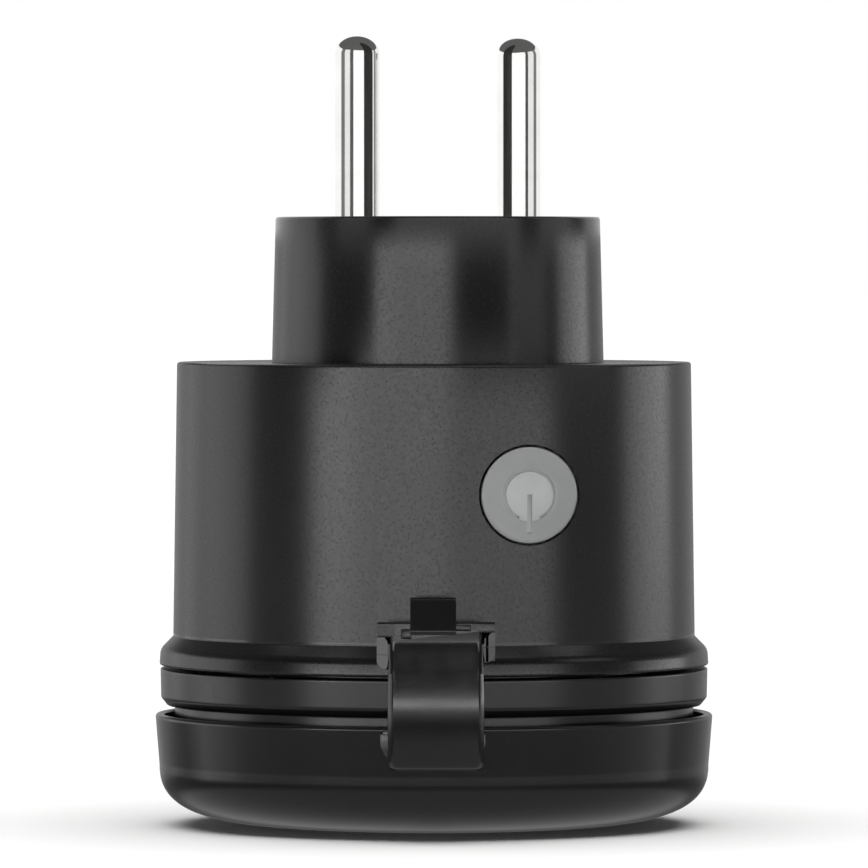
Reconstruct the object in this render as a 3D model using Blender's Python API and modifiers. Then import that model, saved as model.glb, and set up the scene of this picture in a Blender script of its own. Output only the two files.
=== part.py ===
"""Outdoor smart plug: pass-through adapter with a Wi-Fi relay, a power button and a latched hinged lid.

Frame: +Z runs from the lid (z = 0) to the tips of the plug pins, -Y is the latch side, +Y the hinge side.
Lengths below are in millimetres and become metres in the helpers.
"""

import math

import bmesh
import bpy
from mathutils import Matrix

MM = 0.001
GAP = 0.3
ROUND_STEPS = 40
SMALL_STEPS = 20

# Lid
LID_RIM_Z = 12.0
LID_RIM_RADIUS = 29.44
LID_CORNER_Z = 6.3
LID_CORNER_RADIUS = 29.02
LID_FLAT_RADIUS = 12.0
LID_CORNER_FULLNESS = (3.48, 2.53)
LID_CORNER_POINTS = 7
LID_WALL = 1.8
LID_LEDGE = (7.4, 8.6)
LID_LEDGE_RADIUS = 25.8
LID_LIP_CLEARANCE_RADIUS = 28.5

# Socket collar and its recess
COLLAR_RADIUS = 28.9
COLLAR_Z = (12.5, 16.4)
COLLAR_EDGE = 0.8
LIP_RADIUS = (27.0, 28.2)
LIP_Z = 10.7
RECESS_RADIUS = 19.9
RECESS_FLOOR_Z = 27.3
FLOOR_THICKNESS = 2.0
CUP_RADIUS = 21.5
SPIGOT_RADIUS = 25.1
SPIGOT_Z = 16.6
SEAL_SEAT = (27.2, 14.95)

# Housing
WALL = 2.0
HOUSING_FOOT_Z = 16.75
BEAD_RADIUS = 29.0
BEAD_TOP_Z = 19.8
BODY_FOOT_RADIUS = 27.55
BODY_TOP_RADIUS = 27.14
BODY_TOP_Z = 48.7
BODY_CAVITY_RADIUS = 25.5
BOSS_X = 0.4
BOSS_FOOT_RADIUS = 17.52
BOSS_TOP_RADIUS = 17.12
BOSS_TOP_Z = 64.0
BOSS_CAVITY_RADIUS = 15.5
CARRIER_RADIUS = 15.2
CARRIER_FOOT_Z = 55.8

# Plug and socket contacts, laid out on a line turned about the body axis
PIN_TURN = math.radians(26.5)
PIN_HALF_SPACING = 9.5
PIN_RADIUS = 2.4
PIN_TIP_Z = 83.0
PIN_TAIL_Z = 47.0
EARTH_OFFSET = -10.0
EARTH_ENTRY_RADIUS = 3.45
EARTH_SLEEVE_RADIUS = 4.0
EARTH_SLEEVE_Z = (50.5, 61.5)
PIN_HOLE_RADIUS = 2.7
SHUTTER_Z = (29.6, 31.7)
CORE_Z = 32.0
BOARD_Z = (44.8, 46.3)

# Housing screws
SCREW_ANGLES = (45, 135, 225, 315)
SCREW_CIRCLE = 23.8
POST_RADIUS = 1.9
POST_Z = (16.9, 30.0)

# Power button, pressed along +Y
BUTTON_X = 9.8
BUTTON_Z = 35.3
BUTTON_RADIUS = 4.95
BUTTON_FLANGE_Y = (-19.5, -18.7)
BUTTON_STEM_Y = -17.4
BUTTON_PROUD = 0.2
CONTROL_BOARD_Y = (-14.5, -13.3)

# Hinge at the back and latch at the front
HINGE_Y = 31.65
HINGE_Z = 18.8
KNUCKLE_RADIUS = 2.3
HINGE_PIN_RADIUS = 1.0
ARM_HALF_WIDTH = 4.6
HINGE_EAR_X = (4.9, 6.9)
SPRING_SLOT_HALF = 1.9
LATCH_X = 0.2
LATCH_Y = -31.2
LATCH_Z = 20.0
LATCH_BARREL_RADIUS = 1.5
LATCH_PIN_RADIUS = 0.8
LATCH_FRONT_Y = -33.95
ROLL_RADII = (2.1, 2.5)
ROLL_INNER_RADIUS = 1.75
LATCH_PIN_HALF = 5.05
BRACKET_Z = (17.7, 21.42)
EAR_NOSE_Y = -32.9
BRACKET_INNER_HALF = 4.7
BRACKET_OUTER_HALF = 6.05
BRACKET_ROOT_Y = 25.8
CATCH_FRONT_Y = -30.6
RUNNING_CLEARANCE = 0.12


def clear_scene():
    for obj in list(bpy.data.objects):
        bpy.data.objects.remove(obj, do_unlink=True)


def make_collection(name):
    collection = bpy.data.collections.new(name)
    bpy.context.scene.collection.children.link(collection)
    return collection


def make_material(name, colour, roughness, metallic=0.0):
    material = bpy.data.materials.new(name)
    material.use_nodes = True
    shader = material.node_tree.nodes["Principled BSDF"]
    shader.inputs["Base Color"].default_value = (*colour, 1.0)
    shader.inputs["Roughness"].default_value = roughness
    shader.inputs["Metallic"].default_value = metallic
    return material


def link(name, data, material=None):
    """A new object: a part when it has a material, otherwise a cutting or joining form."""
    obj = bpy.data.objects.new(name, data)
    if material:
        PARTS.objects.link(obj)
        data.materials.append(material)
    else:
        CUTTERS.objects.link(obj)
        obj.hide_render = True
        obj.display_type = "WIRE"
    return obj


def smooth(mesh):
    mesh.shade_smooth()
    mesh.set_sharp_from_angle(angle=math.radians(35))


def arc(centre, radii, start, end, steps):
    """Points (u, v) on an ellipse arc, angles in degrees."""
    points = []
    for i in range(steps + 1):
        angle = math.radians(start + (end - start) * i / steps)
        points.append((centre[0] + radii[0] * math.cos(angle), centre[1] + radii[1] * math.sin(angle)))
    return points


def turned_at(place):
    """A point of the contact layout, turned about the body axis."""
    x, y = place
    return (
        x * math.cos(PIN_TURN) - y * math.sin(PIN_TURN),
        x * math.sin(PIN_TURN) + y * math.cos(PIN_TURN),
    )


def turned(name, profile, material=None, at=(0, 0), steps=ROUND_STEPS, closed=False):
    """A turned shape from (radius, z) points that run down its outer side."""
    mesh = bpy.data.meshes.new(name)
    points = [(r * MM, 0, z * MM) for r, z in profile]
    edges = [(i, i + 1) for i in range(len(points) - 1)]
    if closed:
        edges.append((len(points) - 1, 0))
    mesh.from_pydata(points, edges, [])
    obj = link(name, mesh, material)
    obj.location = (at[0] * MM, at[1] * MM, 0)
    screw = obj.modifiers.new("Turn", "SCREW")
    screw.steps = steps
    screw.render_steps = steps
    screw.use_merge_vertices = True
    screw.merge_threshold = 0.00001
    screw.use_smooth_shade = True
    return obj


def rod(name, radius, low, high, material=None, at=(0, 0), axis="Z", steps=SMALL_STEPS):
    """A cylinder along an axis. at holds its two other coordinates, in X, Y, Z order."""
    form = bmesh.new()
    bmesh.ops.create_cone(
        form,
        cap_ends=True,
        segments=steps,
        radius1=radius * MM,
        radius2=radius * MM,
        depth=(high - low) * MM,
    )
    mesh = bpy.data.meshes.new(name)
    form.to_mesh(mesh)
    form.free()
    smooth(mesh)
    obj = link(name, mesh, material)
    middle = (low + high) / 2
    if axis == "Z":
        place = (at[0], at[1], middle)
    elif axis == "Y":
        place = (at[0], middle, at[1])
        obj.rotation_euler = (math.pi / 2, 0, 0)
    else:
        place = (middle, at[0], at[1])
        obj.rotation_euler = (0, math.pi / 2, 0)
    obj.location = [v * MM for v in place]
    return obj


def block(name, low, high, material=None, bevel=0.0, turn=0.0):
    """A box between two corners, with rounded edges, turned about the body axis."""
    size = [high[i] - low[i] for i in range(3)]
    middle = [(high[i] + low[i]) / 2 for i in range(3)]
    form = bmesh.new()
    bmesh.ops.create_cube(form, size=1.0, matrix=Matrix.Diagonal([*(v * MM for v in size), 1.0]))
    mesh = bpy.data.meshes.new(name)
    form.to_mesh(mesh)
    form.free()
    obj = link(name, mesh, material)
    spin = Matrix.Rotation(turn, 4, "Z")
    obj.matrix_world = spin @ Matrix.Translation([v * MM for v in middle])
    if bevel:
        rounding = obj.modifiers.new("Edges", "BEVEL")
        rounding.width = bevel * MM
        rounding.segments = 2
    return obj


def curve_to_mesh(obj, material):
    """The mesh object that stands in for a curve, with its caps welded."""
    bpy.context.view_layer.update()
    graph = bpy.context.evaluated_depsgraph_get()
    mesh = bpy.data.meshes.new_from_object(obj.evaluated_get(graph))
    form = bmesh.new()
    form.from_mesh(mesh)
    bmesh.ops.remove_doubles(form, verts=form.verts, dist=0.000001)
    bmesh.ops.recalc_face_normals(form, faces=form.faces)
    form.to_mesh(mesh)
    form.free()
    mesh.materials.clear()
    smooth(mesh)
    name = obj.name
    matrix = obj.matrix_world.copy()
    bpy.data.objects.remove(obj, do_unlink=True)
    made = link(name, mesh, material)
    made.matrix_world = matrix
    return made


def filled_curve(name, outline, low, high):
    """A flat outline given a thickness, still as a curve object."""
    curve = bpy.data.curves.new(name, "CURVE")
    curve.dimensions = "2D"
    curve.fill_mode = "BOTH"
    curve.extrude = (high - low) / 2 * MM
    spline = curve.splines.new("POLY")
    spline.points.add(len(outline) - 1)
    for point, (u, v) in zip(spline.points, outline):
        point.co = (u * MM, v * MM, 0, 1)
    spline.use_cyclic_u = True
    obj = bpy.data.objects.new(name, curve)
    CUTTERS.objects.link(obj)
    return obj


def plate(name, outline, x_low, x_high, material=None):
    """A flat (y, z) outline given a thickness along X."""
    obj = filled_curve(name, outline, x_low, x_high)
    obj.rotation_euler = (math.pi / 2, 0, math.pi / 2)
    obj.location = ((x_low + x_high) / 2 * MM, 0, 0)
    return curve_to_mesh(obj, material)


def column(name, outline, z_low, z_high):
    """A flat (x, y) outline given a height along Z."""
    obj = filled_curve(name, outline, z_low, z_high)
    obj.location = (0, 0, (z_low + z_high) / 2 * MM)
    return curve_to_mesh(obj, None)


def wire(name, points, radius, material):
    """A round wire along points in millimetres."""
    curve = bpy.data.curves.new(name, "CURVE")
    curve.dimensions = "3D"
    curve.bevel_depth = radius * MM
    curve.bevel_resolution = 1
    curve.use_fill_caps = True
    spline = curve.splines.new("POLY")
    spline.points.add(len(points) - 1)
    for point, place in zip(spline.points, points):
        point.co = (*(v * MM for v in place), 1)
    obj = bpy.data.objects.new(name, curve)
    CUTTERS.objects.link(obj)
    return curve_to_mesh(obj, material)


def hidden(tool):
    if tool.name in PARTS.objects:
        PARTS.objects.unlink(tool)
        CUTTERS.objects.link(tool)
    tool.hide_render = True
    tool.display_type = "WIRE"


def boolean(obj, tool, operation):
    hidden(tool)
    modifier = obj.modifiers.new(tool.name, "BOOLEAN")
    modifier.operation = operation
    modifier.object = tool


def add(obj, tool):
    boolean(obj, tool, "UNION")


def cut(obj, tool):
    boolean(obj, tool, "DIFFERENCE")


def on_axis(name, place, pieces):
    """Parents the pieces of a moving body to an empty on its joint's axis."""
    axis = bpy.data.objects.new(name, None)
    PARTS.objects.link(axis)
    axis.location = [v * MM for v in place]
    bpy.context.view_layer.update()
    for piece in pieces:
        piece.parent = axis
        piece.matrix_parent_inverse = axis.matrix_world.inverted()


def lid_corner(shrink=0.0):
    """(radius, z) points of the lid's soft lower corner, from its side to its flat bottom."""
    side, floor = (2 / fullness for fullness in LID_CORNER_FULLNESS)
    reach = LID_CORNER_RADIUS - LID_FLAT_RADIUS
    points = []
    for i in range(LID_CORNER_POINTS + 1):
        angle = math.pi / 2 * i / LID_CORNER_POINTS
        radius = LID_FLAT_RADIUS + reach * max(math.cos(angle), 0.0) ** side
        height = LID_CORNER_Z * (1 - math.sin(angle) ** floor)
        points.append((radius - shrink, height + shrink))
    return points


def build_lid(plastic, rubber):
    outline = [(0, LID_RIM_Z - 1.0), (LID_RIM_RADIUS - 0.9, LID_RIM_Z - 1.0), (LID_RIM_RADIUS - 0.9, LID_RIM_Z)]
    outline += [(LID_RIM_RADIUS - 0.25, LID_RIM_Z), (LID_RIM_RADIUS, LID_RIM_Z - 0.3)]
    outline += lid_corner() + [(0, 0)]
    lid = turned("lid_shell", outline, plastic)
    add(lid, lid_arm())
    add(lid, block("lid_catch", (-5.5, CATCH_FRONT_Y, 8.3), (5.25, -28.7, 11.25), bevel=0.3))
    hollow = [(0, LID_RIM_Z + 1), (LID_LIP_CLEARANCE_RADIUS, LID_RIM_Z + 1)]
    hollow += [(LID_LIP_CLEARANCE_RADIUS, LID_LEDGE[1]), (LID_LEDGE_RADIUS, LID_LEDGE[1])]
    hollow += [(LID_LEDGE_RADIUS, LID_LEDGE[0])]
    hollow += [point for point in lid_corner(LID_WALL) if point[1] < LID_LEDGE[0]] + [(0, LID_WALL)]
    cut(lid, turned("lid_hollow", hollow))
    for sign in (-1, 1):
        add(lid, knuckle("lid_knuckle", sign))
    cut(lid, hinge_bore("lid_hinge_bore"))
    ring = [(LID_LEDGE_RADIUS + 0.1, LID_LEDGE[1] + 1.8), (LIP_RADIUS[1] - 0.1, LID_LEDGE[1] + 1.8)]
    ring += [(LIP_RADIUS[1], LID_LEDGE[1] + 1.5), (LIP_RADIUS[1], LID_LEDGE[1] + GAP)]
    ring += [(LID_LEDGE_RADIUS, LID_LEDGE[1] + GAP), (LID_LEDGE_RADIUS, LID_LEDGE[1] + 1.5)]
    seal = turned("lid_seal", ring, rubber, closed=True)
    return [lid, seal]


def lid_arm():
    """The arm that carries the lid's rim up to the hinge, open at the top for the spring."""
    back = HINGE_Y + KNUCKLE_RADIUS
    front = HINGE_Y - KNUCKLE_RADIUS
    outline = [(28.75, 7.0), (31.0, 7.2)]
    outline += arc((31.0, 10.2), (back - 31.0, 3.0), -70, 0, 4)
    outline += [(back, HINGE_Z - 2.6), (front, HINGE_Z - 2.6), (front, LID_RIM_Z + 0.4), (28.75, LID_RIM_Z - 0.2)]
    return plate("lid_arm", outline, -ARM_HALF_WIDTH, ARM_HALF_WIDTH)


def knuckle(name, sign):
    """One of the arm's two barrels, blended down into the arm."""
    outline = arc((HINGE_Y, HINGE_Z), (KNUCKLE_RADIUS, KNUCKLE_RADIUS), 0, 180, 8)
    outline += [(HINGE_Y - KNUCKLE_RADIUS, HINGE_Z - 3.0), (HINGE_Y + KNUCKLE_RADIUS, HINGE_Z - 3.0)]
    ends = sorted((sign * SPRING_SLOT_HALF, sign * ARM_HALF_WIDTH))
    return plate(name, outline, *ends)


def hinge_bore(name):
    reach = HINGE_EAR_X[1] + 1
    return rod(name, HINGE_PIN_RADIUS + RUNNING_CLEARANCE, -reach, reach, at=(HINGE_Y, HINGE_Z), axis="X")


def build_collar(plastic):
    """The socket insert: outer band, sealing lip, round recess and its floor."""
    floor_top = RECESS_FLOOR_Z + FLOOR_THICKNESS
    low, high = COLLAR_Z
    outline = [(0, floor_top), (CUP_RADIUS, floor_top), (CUP_RADIUS, SPIGOT_Z), (SPIGOT_RADIUS, SPIGOT_Z)]
    outline += [(SPIGOT_RADIUS, SEAL_SEAT[1]), (SEAL_SEAT[0], SEAL_SEAT[1]), (SEAL_SEAT[0], high)]
    outline += [(COLLAR_RADIUS - 0.2, high), (COLLAR_RADIUS, high - 0.2)]
    outline += arc((COLLAR_RADIUS - COLLAR_EDGE, low + 1.0), (COLLAR_EDGE, 1.0), 0, -80, 4)
    outline += [(LIP_RADIUS[1], low), (LIP_RADIUS[1], LIP_Z + 0.2), (LIP_RADIUS[1] - 0.2, LIP_Z)]
    outline += [(LIP_RADIUS[0], LIP_Z), (LIP_RADIUS[0], low), (RECESS_RADIUS + 0.5, low)]
    outline += [(RECESS_RADIUS, low + 0.5), (RECESS_RADIUS, RECESS_FLOOR_Z), (0, RECESS_FLOOR_Z)]
    collar = turned("front_collar", outline, plastic)
    for sign in (-1, 1):
        hole = turned_at((sign * PIN_HALF_SPACING, 0))
        cut(collar, rod("contact_hole", PIN_HOLE_RADIUS, RECESS_FLOOR_Z - 1, floor_top + 1, at=hole))
    earth = turned_at((0, EARTH_OFFSET))
    cut(collar, rod("earth_pin_hole", PIN_RADIUS + 0.2, RECESS_FLOOR_Z - 1, floor_top + 1, at=earth))
    for angle in SCREW_ANGLES:
        place = screw_place(angle)
        cut(collar, rod("screw_pocket", POST_RADIUS + 0.05, low - 1, low + 1.7, at=place, steps=16))
        cut(collar, rod("screw_hole", 1.2, low, SPIGOT_Z + 1, at=place, steps=12))


def screw_place(angle):
    turn = math.radians(angle)
    return (SCREW_CIRCLE * math.cos(turn), SCREW_CIRCLE * math.sin(turn))


def build_housing(plastic):
    shell = turned("main_housing", housing_outline(), plastic)
    boss = [(0, BOSS_TOP_Z), (BOSS_TOP_RADIUS - 0.25, BOSS_TOP_Z), (BOSS_TOP_RADIUS, BOSS_TOP_Z - 0.25)]
    boss += [(BOSS_FOOT_RADIUS, BODY_TOP_Z), (BOSS_FOOT_RADIUS, BODY_TOP_Z - 1), (0, BODY_TOP_Z - 1)]
    add(shell, turned("boss_form", boss, at=(BOSS_X, 0)))
    for form in bracket_forms() + hinge_ear_forms():
        add(shell, form)
    inner = BODY_TOP_Z - WALL
    hollow = [(0, inner), (BODY_CAVITY_RADIUS - 0.5, inner), (BODY_CAVITY_RADIUS, inner - 0.5)]
    hollow += [(BODY_CAVITY_RADIUS, HOUSING_FOOT_Z - 1), (0, HOUSING_FOOT_Z - 1)]
    cut(shell, turned("body_hollow", hollow))
    hollow = [(0, BOSS_TOP_Z + 1), (BOSS_CAVITY_RADIUS, BOSS_TOP_Z + 1)]
    hollow += [(BOSS_CAVITY_RADIUS + 0.2, inner - 1), (0, inner - 1)]
    cut(shell, turned("boss_hollow", hollow, at=(BOSS_X, 0)))
    button = (BUTTON_X, BUTTON_Z)
    cut(shell, rod("button_hole", BUTTON_RADIUS + GAP, -30, -17, at=button, axis="Y", steps=32))
    for angle in SCREW_ANGLES:
        place = screw_place(angle)
        add(shell, rod("screw_post", POST_RADIUS, *POST_Z, at=place, steps=16))
        cut(shell, rod("post_bore", 1.0, POST_Z[0] - 1, POST_Z[1] - 1.5, at=place, steps=12))
    cut(shell, hinge_bore("ear_hinge_bore"))
    bore = LATCH_PIN_RADIUS + RUNNING_CLEARANCE
    ends = (LATCH_X - LATCH_PIN_HALF - 0.2, LATCH_X + LATCH_PIN_HALF + 0.2)
    cut(shell, rod("latch_bore", bore, *ends, at=(LATCH_Y, LATCH_Z), axis="X", steps=16))


def housing_outline():
    """The drafted round wall with its rounded bead at the foot."""
    bead = (BEAD_RADIUS - BODY_FOOT_RADIUS - 0.1, BEAD_TOP_Z - 18.0)
    outline = [(0, BODY_TOP_Z), (BODY_TOP_RADIUS - 0.5, BODY_TOP_Z), (BODY_TOP_RADIUS - 0.1, BODY_TOP_Z - 0.2)]
    outline += [(BODY_TOP_RADIUS, BODY_TOP_Z - 0.6), (BODY_FOOT_RADIUS, BEAD_TOP_Z)]
    outline += arc((BODY_FOOT_RADIUS, 18.0), bead, 80, 0, 5)
    outline += [(BEAD_RADIUS, HOUSING_FOOT_Z + 0.3), (BEAD_RADIUS - 0.3, HOUSING_FOOT_Z), (0, HOUSING_FOOT_Z)]
    return outline


def boss_place(place):
    x, y = turned_at(place)
    return (x + BOSS_X, y)


def bracket_forms():
    """The latch bracket: two ears whose fronts slant back to the outside, and the plate between them."""
    low, high = BRACKET_Z
    top_radius = high - LATCH_Z
    ear = [(-BRACKET_ROOT_Y, low), (EAR_NOSE_Y + 0.7, low), (EAR_NOSE_Y, low + 0.7), (EAR_NOSE_Y, 20.15)]
    ear += arc((LATCH_Y, LATCH_Z), (-top_radius, top_radius), 15, 90, 4)
    ear.append((-BRACKET_ROOT_Y, high))
    slant = [(4.52, EAR_NOSE_Y - 0.6), (6.54, -30.4), (7.5, -34.0)]
    forms = []
    for sign in (-1, 1):
        ends = sorted((LATCH_X + sign * BRACKET_INNER_HALF, LATCH_X + sign * BRACKET_OUTER_HALF))
        form = plate("latch_ear", ear, *ends)
        corners = [(LATCH_X + sign * x, y) for x, y in slant]
        cut(form, column("ear_slant", corners, low - 1, high + 1))
        forms.append(form)
    back = (LATCH_X - BRACKET_INNER_HALF - 0.2, -28.9, low)
    forms.append(block("latch_backplate", back, (LATCH_X + BRACKET_INNER_HALF + 0.2, -BRACKET_ROOT_Y, high)))
    return forms


def hinge_ear_forms():
    ear = [(BRACKET_ROOT_Y, HINGE_Z - 1.8), (29.3, HINGE_Z - 1.8)]
    ear += arc((HINGE_Y, HINGE_Z), (2.2, 2.2), -125, 90, 10)
    ear += [(BRACKET_ROOT_Y, HINGE_Z + 3.2)]
    forms = []
    for sign in (-1, 1):
        ends = sorted((sign * HINGE_EAR_X[0], sign * HINGE_EAR_X[1]))
        forms.append(plate("hinge_ear", ear, *ends))
    return forms


def build_latch(gloss, metal):
    """The rocking latch lever with its finger tab, the pin it turns on, and a leaf spring."""
    front = [(-33.68, 17.3), (-33.85, 15.8), (LATCH_FRONT_Y, 13.4), (-33.93, 11.4), (-33.72, 9.6), (-33.35, 8.3)]
    hook = [(-32.95, 7.55), (-32.5, 7.3), (-31.0, 7.35), (-30.85, 7.6), (-30.85, 7.9), (-31.3, 8.2)]
    inner = [(-31.5, 9.0), (-31.9, 11.0), (-32.3, 14.0), (-32.2, 16.0), (-32.0, 17.3)]
    lever = plate("latch_lever", front + hook + inner, LATCH_X - 4.93, LATCH_X + 4.93, gloss)
    barrel = arc((LATCH_Y, LATCH_Z), (LATCH_BARREL_RADIUS, LATCH_BARREL_RADIUS), -90, 80, 9)
    neck = arc((LATCH_Y, LATCH_Z), ROLL_RADII, 80, 165, 6)
    neck += [(-33.3, 20.2), (-33.5, 18.8), (-33.7, 17.2), (-33.4, 16.4), (-32.2, 16.4), (-31.9, 17.6)]
    add(lever, plate("latch_neck", neck + barrel, LATCH_X - 4.4, LATCH_X + 4.4))
    cover = arc((LATCH_Y, LATCH_Z), ROLL_RADII, 80, 160, 5)
    cover += arc((LATCH_Y, LATCH_Z), (ROLL_INNER_RADIUS, ROLL_INNER_RADIUS), 160, 80, 5)
    for sign in (-1, 1):
        ends = sorted((LATCH_X + sign * 4.2, LATCH_X + sign * (BRACKET_OUTER_HALF - 0.05)))
        add(lever, plate("ear_cover", cover, *ends))
    tab = [(-31.0, 22.0), (-30.9, 24.2), (-31.3, 24.9), (-32.3, 25.05), (-33.3, 24.9), (-33.7, 24.4)]
    tab += [(-33.85, 22.6), (-33.8, 21.35), (-33.5, 21.25), (-33.3, 21.9), (-32.7, 22.3), (-32.2, 22.0)]
    add(lever, plate("latch_tab", tab, -2.42, 2.25))
    bore = LATCH_PIN_RADIUS + RUNNING_CLEARANCE
    cut(lever, rod("lever_bore", bore, -6, 6.4, at=(LATCH_Y, LATCH_Z), axis="X", steps=16))
    ends = (LATCH_X - LATCH_PIN_HALF, LATCH_X + LATCH_PIN_HALF)
    rod("latch_pin", LATCH_PIN_RADIUS, *ends, metal, at=(LATCH_Y, LATCH_Z), axis="X", steps=16)
    leaf = [(-29.2, 18.6), (-29.2, 21.6), (-30.3, 23.5), (-30.5, 23.35), (-29.45, 21.5), (-29.45, 18.6)]
    plate("latch_spring", leaf, -1.8, 1.6, metal)
    return [lever]


def build_hinge(metal):
    ends = (-HINGE_EAR_X[1] + 0.1, HINGE_EAR_X[1] - 0.1)
    rod("hinge_pin", HINGE_PIN_RADIUS, *ends, metal, at=(HINGE_Y, HINGE_Z), axis="X")
    turns, per_turn, radius = 4, 8, 1.7
    half = SPRING_SLOT_HALF - 0.5
    points = [(-half, HINGE_Y - radius, HINGE_Z - 1.9)]
    for i in range(turns * per_turn + 1):
        angle = math.pi + 2 * math.pi * i / per_turn
        x = -half + 2 * half * i / (turns * per_turn)
        points.append((x, HINGE_Y + radius * math.cos(angle), HINGE_Z - radius * math.sin(angle)))
    points.append((half, HINGE_Y - radius, HINGE_Z + 2.4))
    wire("hinge_spring", points, 0.22, metal)


def build_pins(metal, brass, plastic):
    """Plug pins, the disc that carries them and closes the boss, and the earth path down to the socket."""
    tip = arc((0, PIN_TIP_Z - 1.9), (PIN_RADIUS, 1.9), 90, 0, 5)
    profile = [(max(r, 0), z) for r, z in tip] + [(PIN_RADIUS, 55.5), (3.4, 55.2), (3.4, 53.5), (2.0, 53.2)]
    profile += [(2.0, PIN_TAIL_Z), (0, PIN_TAIL_Z)]
    profile[0] = (0, PIN_TIP_Z)
    for name, sign in (("plug_pin_neutral", -1), ("plug_pin_live", 1)):
        turned(name, profile, metal, at=boss_place((sign * PIN_HALF_SPACING, 0)), steps=SMALL_STEPS)
    through = (CARRIER_FOOT_Z - 1, BOSS_TOP_Z + 1)
    disc = [(0, BOSS_TOP_Z), (CARRIER_RADIUS - 0.25, BOSS_TOP_Z), (CARRIER_RADIUS, BOSS_TOP_Z - 0.25)]
    disc += [(CARRIER_RADIUS, CARRIER_FOOT_Z), (0, CARRIER_FOOT_Z)]
    carrier = turned("pin_carrier", disc, plastic, at=(BOSS_X, 0))
    for sign in (-1, 1):
        hole = boss_place((sign * PIN_HALF_SPACING, 0))
        cut(carrier, rod("carrier_hole", PIN_RADIUS + 0.2, *through, at=hole))
    entry = boss_place((0, EARTH_OFFSET))
    cut(carrier, rod("carrier_entry", EARTH_ENTRY_RADIUS, *through, at=entry))
    well_z = (CARRIER_FOOT_Z - 1, EARTH_SLEEVE_Z[1] + GAP)
    cut(carrier, rod("sleeve_well", EARTH_SLEEVE_RADIUS + GAP, *well_z, at=entry))
    sleeve = [(EARTH_SLEEVE_RADIUS, EARTH_SLEEVE_Z[1]), (EARTH_SLEEVE_RADIUS, EARTH_SLEEVE_Z[0])]
    sleeve += [(EARTH_ENTRY_RADIUS, EARTH_SLEEVE_Z[0]), (EARTH_ENTRY_RADIUS, EARTH_SLEEVE_Z[1])]
    turned("earth_receptacle", sleeve, brass, at=entry, steps=SMALL_STEPS, closed=True)
    earth = turned_at((0, EARTH_OFFSET))
    pin = [(0, 33.0), (PIN_RADIUS, 33.0), (PIN_RADIUS, 31.0), (3.6, 31.0), (3.6, 29.6), (PIN_RADIUS, 29.6)]
    pin += [(r, 15.3 - (z - 15.3)) for r, z in reversed(arc((0, 15.3), (PIN_RADIUS, 1.9), 90, 0, 4)[1:])]
    pin += [(0, 13.4)]
    turned("socket_earth_pin", pin, metal, at=earth, steps=SMALL_STEPS)
    low = (earth[0] - 1.8, earth[1] - 0.5, 33.3)
    block("earth_strap", low, (earth[0] + 1.8, earth[1] + 0.5, 50.2), brass, bevel=0.2)


def build_contacts(brass, insulator):
    """The insulating block with both socket contacts, their links, and the turning shutter."""
    core = block("contact_housing", (-15, -6, CORE_Z), (15, 6, 42), insulator, bevel=0.6, turn=PIN_TURN)
    cut(core, rod("spring_well", 2.6, CORE_Z - 1, 36))
    cut(core, rod("pivot_bore", 1.25, 35, 38.2, steps=16))
    for name, sign in (("socket_contact_neutral", -1), ("socket_contact_live", 1)):
        place = turned_at((sign * PIN_HALF_SPACING, 0))
        cut(core, rod("contact_bore", 3.6, CORE_Z - 1, 43, at=place))
        sleeve = [(3.2, 43.4), (3.2, CORE_Z + 0.8), (2.9, CORE_Z + 0.4), (2.5, CORE_Z + 0.8), (2.5, 43.4)]
        contact = turned(name, sleeve, brass, at=place, steps=SMALL_STEPS, closed=True)
        slit_x = sorted((sign * PIN_HALF_SPACING, sign * (PIN_HALF_SPACING + 5)))
        cut(contact, block("contact_slit", (slit_x[0], -0.4, 31), (slit_x[1], 0.4, 41), turn=PIN_TURN))
    link_low = (-PIN_HALF_SPACING - 0.4, -1.5, 43.7)
    block("neutral_busbar", link_low, (-PIN_HALF_SPACING + 0.8, 1.5, 46.7), brass, turn=PIN_TURN)
    block("live_busbar", (8.2, -1.5, 43.7), (10.8, 9.0, 44.4), brass, turn=PIN_TURN)
    bar_z, half = SHUTTER_Z, 3.6
    shutter = block("shutter", (-13, -half, bar_z[0]), (13, half, bar_z[1]), insulator, bevel=0.4, turn=PIN_TURN)
    cut(shutter, rod("shutter_bore", 1.1 + RUNNING_CLEARANCE, bar_z[0] - 1, bar_z[1] + 1, steps=16))
    rod("shutter_pivot", 1.1, bar_z[0], 38.0, brass, steps=16)
    turns, per_turn = 4, 8
    points = []
    for i in range(turns * per_turn + 1):
        angle = 2 * math.pi * i / per_turn
        z = CORE_Z + 0.5 + 3.0 * i / (turns * per_turn)
        points.append((1.85 * math.cos(angle), 1.85 * math.sin(angle), z))
    wire("shutter_spring", points, 0.2, brass)
    return [shutter]


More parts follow.
